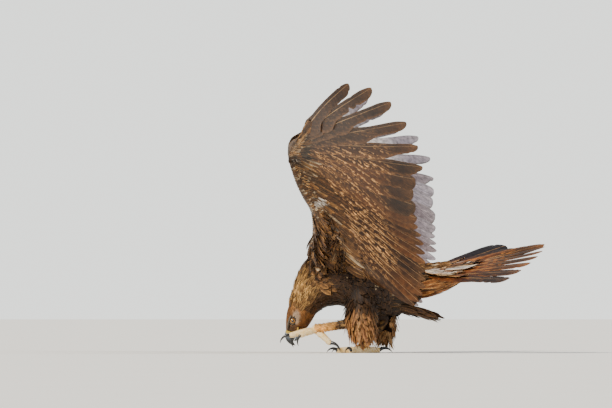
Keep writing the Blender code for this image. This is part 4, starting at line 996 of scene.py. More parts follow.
def quill_line(places, shares, quills):
    """Lines of the flight feathers' shafts: straight along the quill with a bow towards the front,
    the bow being a parabola of the share, and the direction of that front."""
    root, direction, normal, length = wing_quill(places, *quills)
    front = np.cross(direction, normal)
    bow = 4 * QUILL_BOW * np.exp(-places / 6) * length
    line = (root[:, None] + direction[:, None] * (length[:, None] * shares)[..., None]
            + front[:, None] * (bow[:, None] * shares * (1 - shares))[..., None])
    return line, front


def quill_tints(count, shares, above, places):
    """Browns of a flight feather: greyer and paler towards its root, blackish brown at its end.
    The upper sides are a painted sky reflection and painted sunlight on the glossy vanes: grey-violet, and
    whitish towards the root, where the feathers' own bases are paler too."""
    own = chance.random(count)[:, None]
    if above:
        # painted reflection and painted light: the upper side grey-violet, paling to white at the root
        base = mixed(SHEEN_VIOLET_GREY, WHITE, 0.10 + 0.40 * own)
        end = mixed(mixed(GREY_BROWN, SHEEN_VIOLET_GREY, 0.40 + 0.5 * own), WHITE, 0.06 * own)
        return mixed(base, end, step(0.62, 0.84, shares)[None])
    root = mixed(GREY_BROWN, WARM_BROWN, 0.25 + 0.4 * own)
    middle = mixed(BROWN, WARM_BROWN, 0.35 + 0.45 * own)
    end = mixed(BLACK_BROWN, WARM_BROWN, (0.05 + 0.7 * own) * (0.45 + 0.55 * step(7, 9, places))[:, None])
    inner = np.maximum(step(9, 12, places), 1 - step(3, 6, places))[:, None]
    root, middle = mixed(root, DARK_BROWN, 0.62 * inner), mixed(middle, DARK_BROWN, 0.70 * inner)
    found = mixed(root, middle, step(0.25, 0.5, shares)[None])
    return mixed(found, end, step(0.66, 0.84, shares)[None])


def build_quills(side):
    """Flight feathers of one wing. Inner ones lie along the line between their neighbours' shafts,
    the outer fingers in planes of their own, each turned a little about its shaft over the next. Tips
    curl up by the square of the share past the middle."""
    quills, mirror = WINGS[side], MIRROR[side]
    shares = np.concatenate((np.linspace(0, 0.9, 34), np.array((0.925, 0.95, 0.97, 0.985, 0.995, 1.0))))
    places = np.arange(LAST_PLACE + 1.0)
    line, front = quill_line(places, shares, quills)
    before, after = (quill_line(places + shift, shares, quills)[0] for shift in (-0.5, 0.5))
    tangent = unit(np.gradient(line, axis=1))
    space = before - after
    space = space - tangent * (space * tangent).sum(-1, keepdims=True)
    spans = np.linalg.norm(space, axis=-1)
    own_plane = (places < FINGERS)[:, None, None]
    heading = np.where(own_plane, square_to(np.broadcast_to(front[:, None], line.shape), tangent),
                       unit(space))
    upper = unit(np.cross(heading, tangent))
    chord = heading * math.cos(SHINGLE) + upper * math.sin(SHINGLE)
    upper = unit(np.cross(chord, tangent))
    size = np.where(places < FINGERS, FINGER_HALF_WIDTH, spans[:, 30] * QUILL_OVERLAP)
    fronts = np.stack([quill_outline(place, shares) for place in places]) * size[:, None, None]
    # Worn and split edges: single rows drawn in a little
    nicks = np.where(chance.random(fronts.shape) < 0.07, 1 - 0.22 * chance.random(fronts.shape), 1.0)
    fronts = fronts * nicks * (1 + chance.normal(0, 0.008, fronts.shape))
    curl = (0.010 + 0.012 * np.exp(-places / 4))[:, None, None] * (np.clip(shares - 0.55, 0, 1) ** 2
                                                                   / 0.2)[None, :, None]
    line = line + upper * curl
    own = chance.random(len(places))
    tints, below = (quill_tints(len(places), shares, above, places) for above in (True, False))
    mottled = (0.10 + 0.85 * step(2.5, 5, places) * (1 - 0.5 * step(16, 22, places))) * (0.6 + 0.4 * own)
    if side == "left":
        # The short split in the second finger
        fronts[1, 26, 1] *= 0.55
    marks = np.column_stack((0.15 + 0.2 * own, mottled, own))
    strip = np.stack((0.02 + 0.96 * (places + 0.5) / len(places), np.full(len(places), 0.5)), -1)
    made = coat(f"quills_{side}", line, upper, fronts, tints, marks, (strip, np.array((0.034, 0.96))),
                upper_vane, columns=9, cup=0.10, thick=0.0005, sweep=0.10, reverse=(below, quill_vane))
    mirror_piece(made, mirror)
    # The raised shafts, six-sided tapered rods seen on both sides
    rods = []
    for k in range(len(places)):
        radii = np.interp(shares[::2], (0, 0.6, 1), (0.0016, 0.0009, 0.0003))
        rods.append(closed_loft(round_path(line[k, ::2] - upper[k, ::2] * 0.0003, radii, 6, upper[k, 0],
                                           0.8)))
    points, faces = joined(rods)
    made = piece_of(f"shafts_{side}", points, faces, [shaft_horn])
    mirror_piece(made, mirror)


# Upper side of flight feathers: the same vane, smoother and glossier, its pale grey-violet colours a painted
# reflection of the sky and painted sunlight
upper_vane = vane_finish("flight feather keratin, glossy upper side", 120, "#a79a9a", 0.010, "#b0a8a8",
                         "#bdb4b0", 0.30, 0.06, 30)
# Shaft: solid horn, smooth, straw-coloured to brown
shaft_horn = stained_finish("feather shaft horn, smooth", 30.0, 3.0, "#6a4a2c", "#b48e5e", 0.35,
                            (0.35, 0.65))


def wing_tier(places, starts, reaches, widths, above, quills, lifts, slant=0.0):
    """Shafts, upper sides and half widths of coverts that start at a share of the arm's depth. They
    drift outwards by slant places on the way to their tips, which droop onto the layer below."""
    root, _, _, _ = wing_quill(places, *quills)
    chord = np.linalg.norm(root - lead_at(places), axis=-1)
    distance = (chord * starts)[:, None] + reaches[:, None] * SHARES
    rise = lifts[:, None] * (0.25 + 0.75 * SHARES) - (0.0013 + 0.0017
                                                      * step(0.8, 0.9, starts))[:, None] * SHARES ** 6
    line, normal = wing_point(places[:, None] - slant * SHARES, distance, above, quills, rise)
    return line, normal, widths


def covert_rows():
    """Rows of coverts from the front edge back: start on the arm, length, half width, lift, count."""
    rows = []
    for start in np.linspace(-0.02, 0.90, 14):
        grow = max(start, 0)
        rows.append((start, 0.022 + 0.030 * grow, 0.0052 + 0.0042 * grow, 0.0014 - 0.0005 * grow,
                     int(105 - 50 * grow)))
    for start, reach, width, lift, count in ((0.84, 0.064, 0.0100, 0.0012, 52),
                                             (0.88, 0.082, 0.0110, 0.0010, 46),
                                             (0.92, 0.104, 0.0122, 0.0008, 40),
                                             (0.95, 0.130, 0.0135, 0.0005, 36)):
        rows.append((start, reach, width, lift, count))
    return rows[::-1]


def build_coverts(side):
    """Coverts above and below: small ones in tiers at the front, then median and greater ones that
    lie over the flight feathers."""
    quills, mirror = WINGS[side], MIRROR[side]
    for above in (False, True):
        rows = []
        for number, (start, reach, width, lift, count) in enumerate(covert_rows()):
            places = np.linspace(-0.2, INNER_PLACE - 0.6, count) + 0.5 * (number % 2) * INNER_PLACE / count
            places = places + chance.normal(0, 0.13, count) * INNER_PLACE / count
            places = np.clip(places, -0.35, INNER_PLACE - 0.1)
            size = np.interp(places, (0, 4, 20, 29), (0.72, 1.0, 1.0, 0.9))
            reaches = reach * size * (1 + chance.normal(0, 0.09, count))
            found = wing_tier(places, np.full(count, start), reaches, width * size, above, quills,
                              lift + 0.0009 * chance.random(count), 0.25)
            rows.append((*found, np.full(count, start), places))
        line, normal, width, start, place = stacked(rows)
        count = len(place)
        own = chance.random(count)
        base = mixed(mixed(DARK_BROWN, BROWN, own), WARM_BROWN, 0.35 * chance.random(count))
        if not above:
            greater = (start > 0.92).astype(float)
            hand = 1 - step(7, 10, place)
            grey = mixed(GREY_BROWN, WARM_BROWN, 0.15 + 0.2 * own)
            base = mixed(base, grey, greater * (0.55 + 0.35 * hand))
            tips = mixed(base, mixed(TAWNY, BUFF, own), (0.05 + 0.95 * chance.random(count) ** 2.6)
                         * (1 - 0.6 * greater))
            base = mixed(base, BLACK_BROWN, 0.85 * (chance.random(count) < 0.45) * (1 - greater))
            spot = (chance.random(count) < 0.16 - 0.10 * greater).astype(float)
            tips = mixed(tips, CREAM, 0.75 * spot)
            edge = (0.08 + 0.88 * chance.random(count) ** 1.9) * (1 - 0.5 * greater)
        else:
            greater = (start > 0.80).astype(float)
            # painted light: the front rows lightened towards tawny where the upper side faces away from the
            # lamps
            base = mixed(base, TAWNY, 0.5 * (start < 0.25))
            # painted sheen: the greater coverts above mixed towards grey-violet
            base = mixed(base, mixed(SHEEN_VIOLET_GREY, GREY_BROWN, own), 0.55 * greater)
            tips = mixed(base, mixed(TAWNY, BUFF, own), 0.6 * chance.random(count) * (1 - 0.4 * greater))
            edge = 0.35 + 0.55 * chance.random(count)
        tints = mixed(base[:, None], tips[:, None], SHARES ** 1.6)
        if not above:
            # Whitish patches on the arm; the dark thumb, the coverts' own dark brown deepened as a painted
            # shadow of the alula; and the black wrist round a small white spot
            for x, z, size, dark in ((-0.099, 0.385, 0.016, 0), (-0.065, 0.309, 0.018, 0),
                                     (-0.126, 0.515, 0.021, 1),
                                     (-0.159, 0.496, 0.020, 1), (-0.158, 0.495, 0.009, 0)):
                patch = step(1.0, 0.6, np.hypot(line[..., 0] - x, line[..., 2] - z) / size)
                patch = patch * (0.92 if dark else (0.85 * step(0.35, 0.75, own))[:, None])
                tints = mixed(tints, BLACK_BROWN if dark else WHITE, patch)
                edge = edge * (1 - 0.9 * dark * patch.max(1))
        marks = np.column_stack((edge, 0.45 + 0.45 * own, own))
        bake = (np.stack((0.02 + 0.96 * (place + 0.4) / 30, 0.05 + 0.85 * start), -1), BAKE_PATCH)
        label = "above" if above else "below"
        made = coat(f"coverts_{label}_{side}", line, normal, feather_fronts(width, BLUNT, 0.09), tints,
                    marks, bake, covert_vane, thick=0.0004, sweep=0.12)
        mirror_piece(made, mirror)


def build_alula(side):
    """The three stiff dark feathers of the thumb, laid along the front of the hand."""
    thumb = np.arange(3.0)
    root, direction, normal, _ = wing_quill(8 - 1.2 * thumb, *WINGS[side])
    lead = lead_at(8 - 1.2 * thumb)
    heading = unit(unit(FINGER - WRIST) * 0.75 + direction * 0.45)
    start = lead + (root - lead) * 0.35 + normal * (0.015 - 0.004 * thumb)[:, None]
    reach = (0.085 + 0.012 * thumb)[:, None] * SHARES
    line = start[:, None] + heading[:, None] * reach[..., None] + normal[:, None] * (0.006 * SHARES)[:, None]
    own = chance.random(3)
    tints = mixed(DARK_BROWN, BROWN, np.repeat(own[:, None], len(SHARES), 1))
    made = coat(f"alula_{side}", line,
                square_to(np.repeat(normal[:, None], len(SHARES), 1), heading[:, None]),
                feather_fronts(np.full(3, 0.012), BLUNT, 0.05), tints, np.column_stack((own, own, own))
                * 0.4,
                (np.column_stack((0.2 + 0.03 * thumb, np.full(3, 0.3))), BAKE_PATCH), covert_vane)
    mirror_piece(made, MIRROR[side])


for side in ("left", "right"):
    build_quills(side)
    build_coverts(side)
    build_alula(side)


# ======== Tail ========

TAIL_SHARES = np.concatenate((np.linspace(0, 0.92, 34), np.array((0.945, 0.965, 0.98, 0.99, 1.0))))


def build_tail():
    """Twelve tail feathers. On each side every one lies over the one outside it, along the line
    between its neighbours' shafts. Their widths grow slowly to a rounded end."""
    places = np.linspace(-1, 1, TAIL_FEATHERS)
    half = (places[1] - places[0]) / 2

    def shafts(at):
        """Straight lines along the quills, each pair of sides lifted a little off the middle."""
        root, direction, normal = tail_quill(at)
        length = TAIL_LENGTH * (1 - 0.05 * at * at)
        lifted = root + normal * (0.0012 * np.sign(at) * np.clip(np.abs(at) * 4, 0, 1))[:, None]
        return lifted[:, None] + direction[:, None] * (length[:, None] * TAIL_SHARES)[..., None]

    line = shafts(places)
    tangent = unit(np.gradient(line, axis=1))
    space = shafts(np.clip(places - half, -1.05, 1.05)) - shafts(np.clip(places + half, -1.05, 1.05))
    space = space - tangent * (space * tangent).sum(-1, keepdims=True)
    spans = np.linalg.norm(space, axis=-1)
    heading = unit(space)
    upper = unit(np.cross(heading, tangent))
    tilt = -np.where(places[:, None] > 0,
                     np.interp(TAIL_SHARES, (0, 0.15, 0.75, 1), (0.14, 0.42, 0.42, 0.2)),
                     np.interp(TAIL_SHARES, (0, 0.15, 0.42, 0.62, 1),
                               (0, 0.26, 0.24, -0.04, -0.08)))[..., None]
    chord = heading * np.cos(tilt) + upper * np.sin(tilt)
    upper = unit(np.cross(chord, tangent))
    size = np.full(len(places), spans[5, 30] * 0.66)
    shape = np.interp(TAIL_SHARES, (0, 0.1, 0.4, 0.85, 1), (0.10, 0.40, 0.66, 0.84, 0.74))
    end = np.sqrt(np.clip(1 - np.clip((TAIL_SHARES - 0.90) / 0.10, 0, 1) ** 2, 0.004, 1))
    fronts = size[:, None, None] * (shape * end)[None, :, None] * np.ones((1, 1, 2))
    fronts = fronts * np.where(chance.random(fronts.shape) < 0.08, 0.82, 1.0)
    count = len(places)
    own = chance.random(count)
    # painted shade: the far tail feathers, and less so the outer near ones, darkened to blue-black, with
    # their pale edges and dark centres taken away
    far = np.maximum(step(0.5, 0.9, places), 0.6 * step(0.55, 0.95, -places))[:, None]
    root_tone = mixed(mixed(WARM_BROWN, RUST, own), ORANGE, 0.35)
    middle = mixed(DARK_BROWN, RUST, 0.10 + 0.35 * own)
    end_tone = mixed(BLACK_BROWN, WARM_BROWN, 0.6 * own)
    tints = mixed(root_tone[:, None], middle[:, None], step(0.25, 0.5, TAIL_SHARES))
    tints = mixed(tints, end_tone[:, None], step(0.45, 0.70, TAIL_SHARES))
    tints = mixed(tints, linear("#15161e"), 0.92 * far)
    marks = np.column_stack(((0.15 + 0.25 * own) * (1 - far[:, 0]), 0.5 * (1 - far[:, 0]), own))
    strip = np.stack((0.04 + 0.92 * (np.arange(count) + 0.5) / count, np.full(count, 0.5)), -1)
    made = coat("tail_feathers", line, upper, fronts, tints, marks, (strip, np.array((0.07, 0.96))),
                tail_vane, columns=9, cup=0.08, thick=0.0005, sweep=0.10)
    rods = [closed_loft(round_path(line[k, ::2],
                                   np.interp(TAIL_SHARES[::2], (0, 0.6, 1), (0.0020, 0.0011, 0.0003)),
                                   6, upper[k, 0], 0.8)) for k in range(count)]
    points, faces = joined(rods)
    piece_of("shafts_tail", points, faces, [shaft_horn])


def guide_shafts(stations, first, angles, lengths, sink, rise):
    """Shafts over a form given by stations of the body, from a share of its run."""
    rows = smooth_rows(stations, 8)
    middle = (rows[:, [0, 1]] + rows[:, [2, 3]]) / 2
    total = np.linalg.norm(np.diff(middle, axis=0), axis=1).sum()

    def surface(share, angle, height=0.0):
        """Points of the form, run on in a straight line past its last station."""
        found = rows_at(rows, np.clip(share, 0, 1))
        past = np.maximum(share - 1,
                          0)[..., None] * total * unit(np.append(middle[-1] - middle[-2], 0))[[0, 2, 1]]
        return ellipse_points(found, angle, height) + past

    share = first[:, None] + (lengths / total)[:, None] * SHARES
    height = sink + (rise - sink)[:, None] * SHARES
    angle = np.broadcast_to(angles[:, None], share.shape)
    points = surface(share, angle, height)
    return points, normals_of(surface, share, angle, 0.01)


def build_tail_coverts():
    """Coverts over and under the root of the tail, and the dark loose feathers of the vent."""
    rows = []

    def take(*row):
        """Keeps a row of feathers for the one piece that they all join."""
        rows.append(row)

    for reach, back, lift, count in ((0.150, 0.0, 0.007, 11), (0.125, 0.004, 0.010, 12),
                                     (0.105, -0.010, 0.013, 12),
                                     (0.085, -0.018, 0.0155, 12), (0.070, -0.026, 0.018, 11)):
        places = np.linspace(-0.95, 0.98, count) + chance.normal(0, 0.03, count)
        root, direction, normal = tail_quill(places)
        reaches = reach * (1 + chance.normal(0, 0.08, count))
        distance = back + reaches[:, None] * SHARES
        line = (root[:, None] + direction[:, None] * distance[..., None]
                + normal[:, None]
                * (lift * (1 - 0.45 * SHARES) + 0.002 * chance.random(count)[:, None])[..., None])
        own = chance.random(count)
        base = mixed(mixed(BROWN, PINK_BROWN, own), TAWNY, 0.3 * own)
        # painted sheen: grey-white patches on some of the upper tail coverts
        base = mixed(base, mixed(SHEEN_VIOLET_GREY, WHITE, 0.7), 0.7 * (chance.random(count) < 0.35))
        tip = mixed(base, mixed(CREAM, WHITE, own), 0.85 * (chance.random(count) < 0.5))
        take(line, np.repeat(normal[:, None], len(SHARES), 1), np.full(count, 0.0125), base, tip,
             np.stack((0.5 + 0.45 * places, np.full(count, 0.8 + back)), -1), 0.5 + 0.4 * own)
    for start, reach, width, count in ((0.0, 0.060, 0.0065, 14), (0.10, 0.070, 0.0070, 14),
                                       (0.22, 0.075, 0.0070, 13),
                                       (0.36, 0.075, 0.0070, 12), (0.50, 0.072, 0.0066, 11),
                                       (0.62, 0.060, 0.006, 9)):
        angles = np.radians(np.linspace(98, 262, count)) + chance.normal(0, 0.06, count)
        own = chance.random(count)
        line, normal = guide_shafts(UNDERTAIL_STATIONS, start + 0.03 * chance.random(count), angles,
                                    reach * (1 + chance.normal(0, 0.12, count)), -0.004, 0.001 + 0.003 * own)
        base = mixed(mixed(BROWN, RUST, own), DARK_BROWN, 0.6 * chance.random(count))
        tip = mixed(base, mixed(ORANGE, BUFF, own), 0.6 * chance.random(count))
        take(line, normal, np.full(count, width), base, tip,
             np.stack((0.05 + 0.9 * angles / (2 * math.pi), 0.1 + 0.3 * np.full(count, start)), -1), 0.3
             + 0.5 * own)
    for start, reach, width, count in ((0.0, 0.055, 0.007, 14), (0.14, 0.060, 0.0072, 14),
                                       (0.30, 0.062, 0.0072, 13),
                                       (0.46, 0.060, 0.0068, 12), (0.60, 0.050, 0.006, 10)):
        angles = np.radians(np.linspace(104, 256, count)) + chance.normal(0, 0.06, count)
        own = chance.random(count)
        line, normal = guide_shafts(VENT_STATIONS, start + 0.04 * chance.random(count), angles,
                                    reach * (1 + chance.normal(0, 0.25, count)), -0.004, 0.001 + 0.008 * own)
        base = mixed(BLACK_BROWN, BROWN, own)
        tip = mixed(base, WARM_BROWN, 0.7 * chance.random(count))
        take(line, normal, np.full(count, width), base, tip,
             np.stack((0.05 + 0.9 * angles / (2 * math.pi), 0.5 + 0.25 * np.full(count, start)), -1), 0.25
             * own)
    line, normal, width, base, tip, spot, edge = stacked(rows)
    own = chance.random(len(line))
    tints = mixed(base[:, None], tip[:, None], SHARES ** 1.4)
    marks = np.column_stack((edge, 0.4 + 0.2 * own, own))
    made = coat("coverts_tail", line, normal, feather_fronts(width, BLUNT, 0.13), tints, marks,
                (spot, BAKE_PATCH), covert_vane, thick=0.0004, sweep=0.2)


build_tail()
build_tail_coverts()


# ======== Legs ========

def build_trousers(side, trousers, hip):
    """Long loose feathers in tiers down the leg: each leaves the thigh and hangs, tips apart."""
    rows = smooth_rows((trousers[0][:2] + (trousers[0][2] + 0.045, trousers[0][3] * 0.9),) + trousers, 8)
    rows[:, 1] -= np.interp(np.arange(len(rows)), (0, 12), (np.sign(hip[1]) * 0.012, 0))
    tiers = []
    for number, start in enumerate(np.linspace(-0.02, 0.74, 17)):
        count = 34
        angles = (np.arange(count) + 0.5
                  * (number % 2)) * 2 * math.pi / count + chance.normal(0, 0.06, count)
        reach = np.interp(start, (0, 0.74), (0.26, 0.27)) * (1 + chance.normal(0, 0.16, count))
        share = start + 0.03 * chance.normal(0, 1, count)[:, None] + reach[:, None] * SHARES
        at = rows_at(rows, np.clip(share, 0, 1))
        slack = np.clip(start + 0.2, 0, 1)
        out = np.stack((np.cos(angles), np.sin(angles) * TROUSER_DEPTH, np.zeros(count)), -1)
        spread = at[..., 3] - 0.010 + (0.008 + 0.008 * chance.random(count)[:, None]) * SHARES
        line = at[..., :3] + out[:, None] * spread[..., None]
        line[..., 2] -= (np.maximum(share - 1, 0)) * 0.10
        sway = chance.normal(0, 0.006, (count, 3)) * slack
        line = line + sway[:, None] * (SHARES ** 1.6)[None, :, None]
        tiers.append((line, np.repeat(unit(out + np.array((0, 0, 0.15)))[:, None], len(SHARES), 1),
                      np.column_stack((angles, np.full(count, start)))))
    line, normal, tier = stacked(tiers)
    line[..., 2] = np.maximum(line[..., 2], 0.004)
    normal = square_to(normal, unit(np.gradient(line, axis=1)))
    count = len(line)
    own = chance.random(count)
    if side == "left":
        base = mixed(mixed(BROWN, PINK_BROWN, own), DARK_BROWN, 0.75 * (chance.random(count) < 0.35))
        tip = mixed(base, mixed(PINK_BROWN, BUFF, 0.2 + 0.8 * chance.random(count)), 0.85)
        front_low = step(0.35, 0.6, tier[:, 1]) * near(tier[:, 0], math.pi, 1.3)
        tip = mixed(tip, PEACH, 0.6 * front_low)
    else:
        # painted light: the right trousers, in the body's shadow, are painted paler than the left, tawny
        # with buff and cream tips
        base = mixed(mixed(PINK_BROWN, TAWNY, own), DARK_BROWN, 0.5 * (chance.random(count) < 0.2))
        tip = mixed(base, mixed(BUFF, CREAM, 0.5 * own), 0.45 + 0.5 * chance.random(count))
    # the trousers high up mixed towards black-brown with no pale edges: partly the body's dark brown carried
    # down, partly painted shade under the belly
    high = 0.9 * step(0.085, 0.120, line[:, 2, 2])
    base, tip = mixed(base, BLACK_BROWN, high), mixed(tip, DARK_BROWN, high)
    widths = (0.0052 + 0.002 * own) * np.interp(tier[:, 1], (0, 0.7), (1.1, 0.85))
    tints = mixed(base[:, None], tip[:, None], SHARES ** 1.2)
    marks = np.column_stack(((0.2 + 0.4 * own) * (1 - high), 0.35 + 0.3 * own, own))
    made = coat(f"coat_thigh_{side}", line, normal, feather_fronts(widths, POINTED, 0.16), tints, marks,
                (np.stack((0.02 + 0.96 * (tier[:, 0] % 6.283) / 6.2832, 0.1 + 0.8 * tier[:, 1]), -1),
                 BAKE_PATCH),
                body_vane, thick=0.0004, sweep=0.3)


def build_shank_coat(side, hock, sole, pale):
    """Small close feathers down the shank to the toes, rust and peach."""
    path = smooth_rows((hock, (hock + sole) / 2, sole), 10)
    axis = unit(sole - hock)
    sidewards = square_to(ACROSS[None], axis[None])[0]
    forwards = np.cross(axis, sidewards)
    length = np.linalg.norm(sole - hock)
    starts, angles = [], []
    for number, start in enumerate(np.arange(-0.06, 0.92, 0.036)):
        count = 22
        starts.append(np.full(count, start) + chance.normal(0, 0.01, count))
        angles.append((np.arange(count) + 0.5 * (number % 2)) * 2 * math.pi / count
                      + chance.normal(0, 0.08, count))
    start, angle = np.concatenate(starts), np.concatenate(angles)
    count = len(start)
    reach = np.interp(start, (0, 0.8), (0.024, 0.014)) * (1 + chance.normal(0, 0.12, count)) / length
    share = start[:, None] + reach[:, None] * SHARES
    out = sidewards * np.cos(angle)[:, None] + forwards * np.sin(angle)[:, None]
    radius = np.interp(share, (0, 0.5, 0.85, 1), (0.0098, 0.0078, 0.0080, 0.0092))
    radius = radius + (0.0004 + (0.0016 + 0.0040 * chance.random(count)[:, None]) * SHARES ** 1.5)
    line = rows_at(path, np.clip(share, 0, 1)) + out[:, None] * radius[..., None]
    line = line + axis * (np.minimum(share, 0) * length)[..., None]
    own = chance.random(count)
    base = mixed(mixed(BROWN, DARK_BROWN, own), mixed(RUST, linear("#ffae48"), pale * (0.7 + 0.3 * own)),
                 step(0.25, 0.6, start))
    upward = np.clip(out[:, 2] * 1.5, 0, 1)
    base = mixed(base, DARK_BROWN, 0.60 * upward * (side == "left"))
    tip = mixed(base, linear("#ffc878"), 0.4 * chance.random(count) ** 2 + 0.6 * pale
                * step(0.3, 0.6, start))
    tints = mixed(base[:, None], tip[:, None], SHARES)
    marks = np.column_stack((0.4 * own, 0.15 + 0.2 * own, own))
    normal = np.repeat(out[:, None], len(SHARES), 1)
    made = coat(f"coat_shank_{side}", line, normal, feather_fronts(np.full(count, 0.0030), POINTED, 0.18),
                tints,
                marks, (np.stack((0.02 + 0.96 * (angle % 6.283) / 6.2832, 0.1 + 0.8 * start), -1),
                        BAKE_PATCH),
                body_vane, thick=0.00025, sweep=0.3)


# ======== Coat of the shoulders and thigh tops ========

def build_joint_coat():
    """Soft feathers where wings and thighs leave the trunk. They root at points of the skin near the
    line of the upper arm or the top of the thigh, lie back along the skin, and follow its fall away
    by the square of the share."""
    groups = []
    spots = ((SHOULDER, ELBOW, 0.066, (0.80, -0.10, -0.50), 1500, 0.046),
             (LEFT_HIP + (0, -0.02, 0.03), LEFT_HIP + (0, -0.02, -0.02), 0.060, (0.30, -0.08, -0.95), 520,
              0.040))
    for mirror in (1, -1):
        for first, last, reach, way, count, size in spots:
            first, last = first.copy(), last.copy()
            if mirror < 0 and first is not SHOULDER and abs(first[0] - SHOULDER[0]) > 0.01:
                shift = RIGHT_HIP * (1, -1, 1) - LEFT_HIP
                first, last = first + shift, last + shift
            points = SKIN_POINTS * (1, mirror, 1)
            facing = SKIN_NORMALS * (1, mirror, 1)
            line = last - first
            share = np.clip(((points - first) @ line) / (line @ line), 0, 1)
            away = np.linalg.norm(points - first - share[:, None] * line, axis=1)
            found = np.flatnonzero((away < reach) & (points[:, 1] < 0.005))
            found = chance.choice(found, min(count, len(found)), replace=False)
            way = np.broadcast_to(unit(np.array(way)),
                                  (len(found), 3)) + chance.normal(0, 0.08, (len(found), 3))
            turned = (1, mirror, 1)
            groups.append((points[found] * turned, facing[found] * turned, way * turned,
                           np.full(len(found), size)))
    root, normal, way, size = stacked(groups)
    normal = unit(normal)
    way = square_to(way, normal)
    count = len(root)
    own = chance.random(count)
    length = size * (1 + chance.normal(0, 0.15, count))
    lift = 0.0005 + (0.0036 + 0.0026 * own)[:, None] * (SHARES - 0.6 * SHARES ** 7) - (length[:, None]
                                                                                       * SHARES) ** 2 * 3.2
    line = root[:, None] + way[:, None] * (length[:, None]
                                           * SHARES)[..., None] + normal[:, None] * lift[..., None]
    tangent = unit(np.gradient(line, axis=1))
    upper = square_to(np.broadcast_to(normal[:, None], line.shape), tangent)
    base = mixed(mixed(DARK_BROWN, BROWN, own), WARM_BROWN, 0.7 * chance.random(count) ** 2)
    tip = mixed(base, mixed(TAWNY, BUFF, own), 0.6 * chance.random(count) ** 2)
    tip = mixed(tip, CREAM, 0.6 * (chance.random(count) < 0.022))
    # the feathers on top of the thigh mixed nearly to black with no pale edges: partly the belly's own dark
    # brown, partly painted shade under the belly
    thigh = 0.85 * (size < 0.045)
    base, tip = mixed(base, BLACK_BROWN, thigh), mixed(tip, DARK_BROWN, thigh)
    tints = mixed(base[:, None], tip[:, None], SHARES ** 1.4)
    marks = np.column_stack(((0.15 + 0.6 * chance.random(count) ** 2) * (1 - thigh), 0.5 + 0.2 * own, own))
    spread = np.arctan2(root[:, 1], root[:, 2] - 0.2)
    bake = (np.stack((0.5 + spread / 7.0, 0.3 + root[:, 0] * 1.6), -1), BAKE_PATCH)
    made = coat("coat_shoulders", line, upper, feather_fronts(0.0066 + 0.002 * own, BLUNT, 0.13), tints,
                marks,
                bake, body_vane, thick=0.0004, sweep=0.15)


build_joint_coat()


build_trousers("left", LEFT_TROUSERS, LEFT_HIP)
build_trousers("right", RIGHT_TROUSERS, RIGHT_HIP)
build_shank_coat("left", LEFT_HOCK, LEFT_SOLE, 0.8)
# the right shank a little paler than the left, as painted light in the body's shadow
build_shank_coat("right", RIGHT_HOCK, RIGHT_SOLE, 0.9)


# ======== Face, bill, eyes and claws ========

# Bill horn: layered keratin, smooth and a little waxy, blue-grey at the base and black at the hook
bill_horn, tree, surface = new_finish("bill horn, layered keratin, waxy")
space = add(tree, "TexCoord")
along_bill = add(tree, "VectorMath", [(0, space.outputs["Object"])], operation="DOT_PRODUCT")
along_bill.inputs[1].default_value = tuple(FORWARD)
tip_at = float(in_head(0.044, 0.0) @ FORWARD)
base_at = float(in_head(0.0305, 0.0) @ FORWARD)
flakes = add(tree, "TexNoise", [(0, space.outputs["Object"])], in_2=260.0, in_3=4.0)
wander = add(tree, "Math", [(0, flakes), (2, along_bill.outputs[1])],
             operation="MULTIPLY_ADD", in_1=0.006)
dark_part = add(tree, "MapRange", [(0, wander)], in_1=tip_at - 0.004, in_2=tip_at + 0.011)
cere_part = add(tree, "MapRange", [(0, wander)], in_1=base_at + 0.0085, in_2=base_at + 0.0065)
horn_mix = add(tree, "Mix", [(0, dark_part)], data_type="RGBA",
               in_6=(*linear("#6f7a86"), 1), in_7=(*linear("#14161a"), 1))
cere_mix = add(tree, "Mix", [(0, cere_part), (6, horn_mix.outputs[2])],
               data_type="RGBA", in_7=(*linear("#a98e3c"), 1))
tree.links.new(cere_mix.outputs[2], surface.inputs["Base Color"])
growth = add(tree, "TexWave", [(0, space.outputs["Object"])], in_1=300.0, in_2=3.0, in_3=2.0)
dents = add(tree, "Bump", [("Height", growth.outputs[1])], in_0=0.12, in_1=0.0003)
tree.links.new(dents.outputs[0], surface.inputs["Normal"])
gloss = add(tree, "MapRange", [(0, flakes)], in_3=0.22, in_4=0.40)
tree.links.new(gloss.outputs[0], surface.inputs["Roughness"])
surface.inputs["IOR"].default_value = 1.54

# Claw horn: black keratin worn to a polish, faint lengthwise streaks and dust
claw_horn = stained_finish("claw horn, black keratin, polished by wear", 420.0, 4.0, "#0d0d10", "#2f3036",
                           (0.20, 0.42), (0.35, 0.75), (0.1, 0.0002), 1.54)


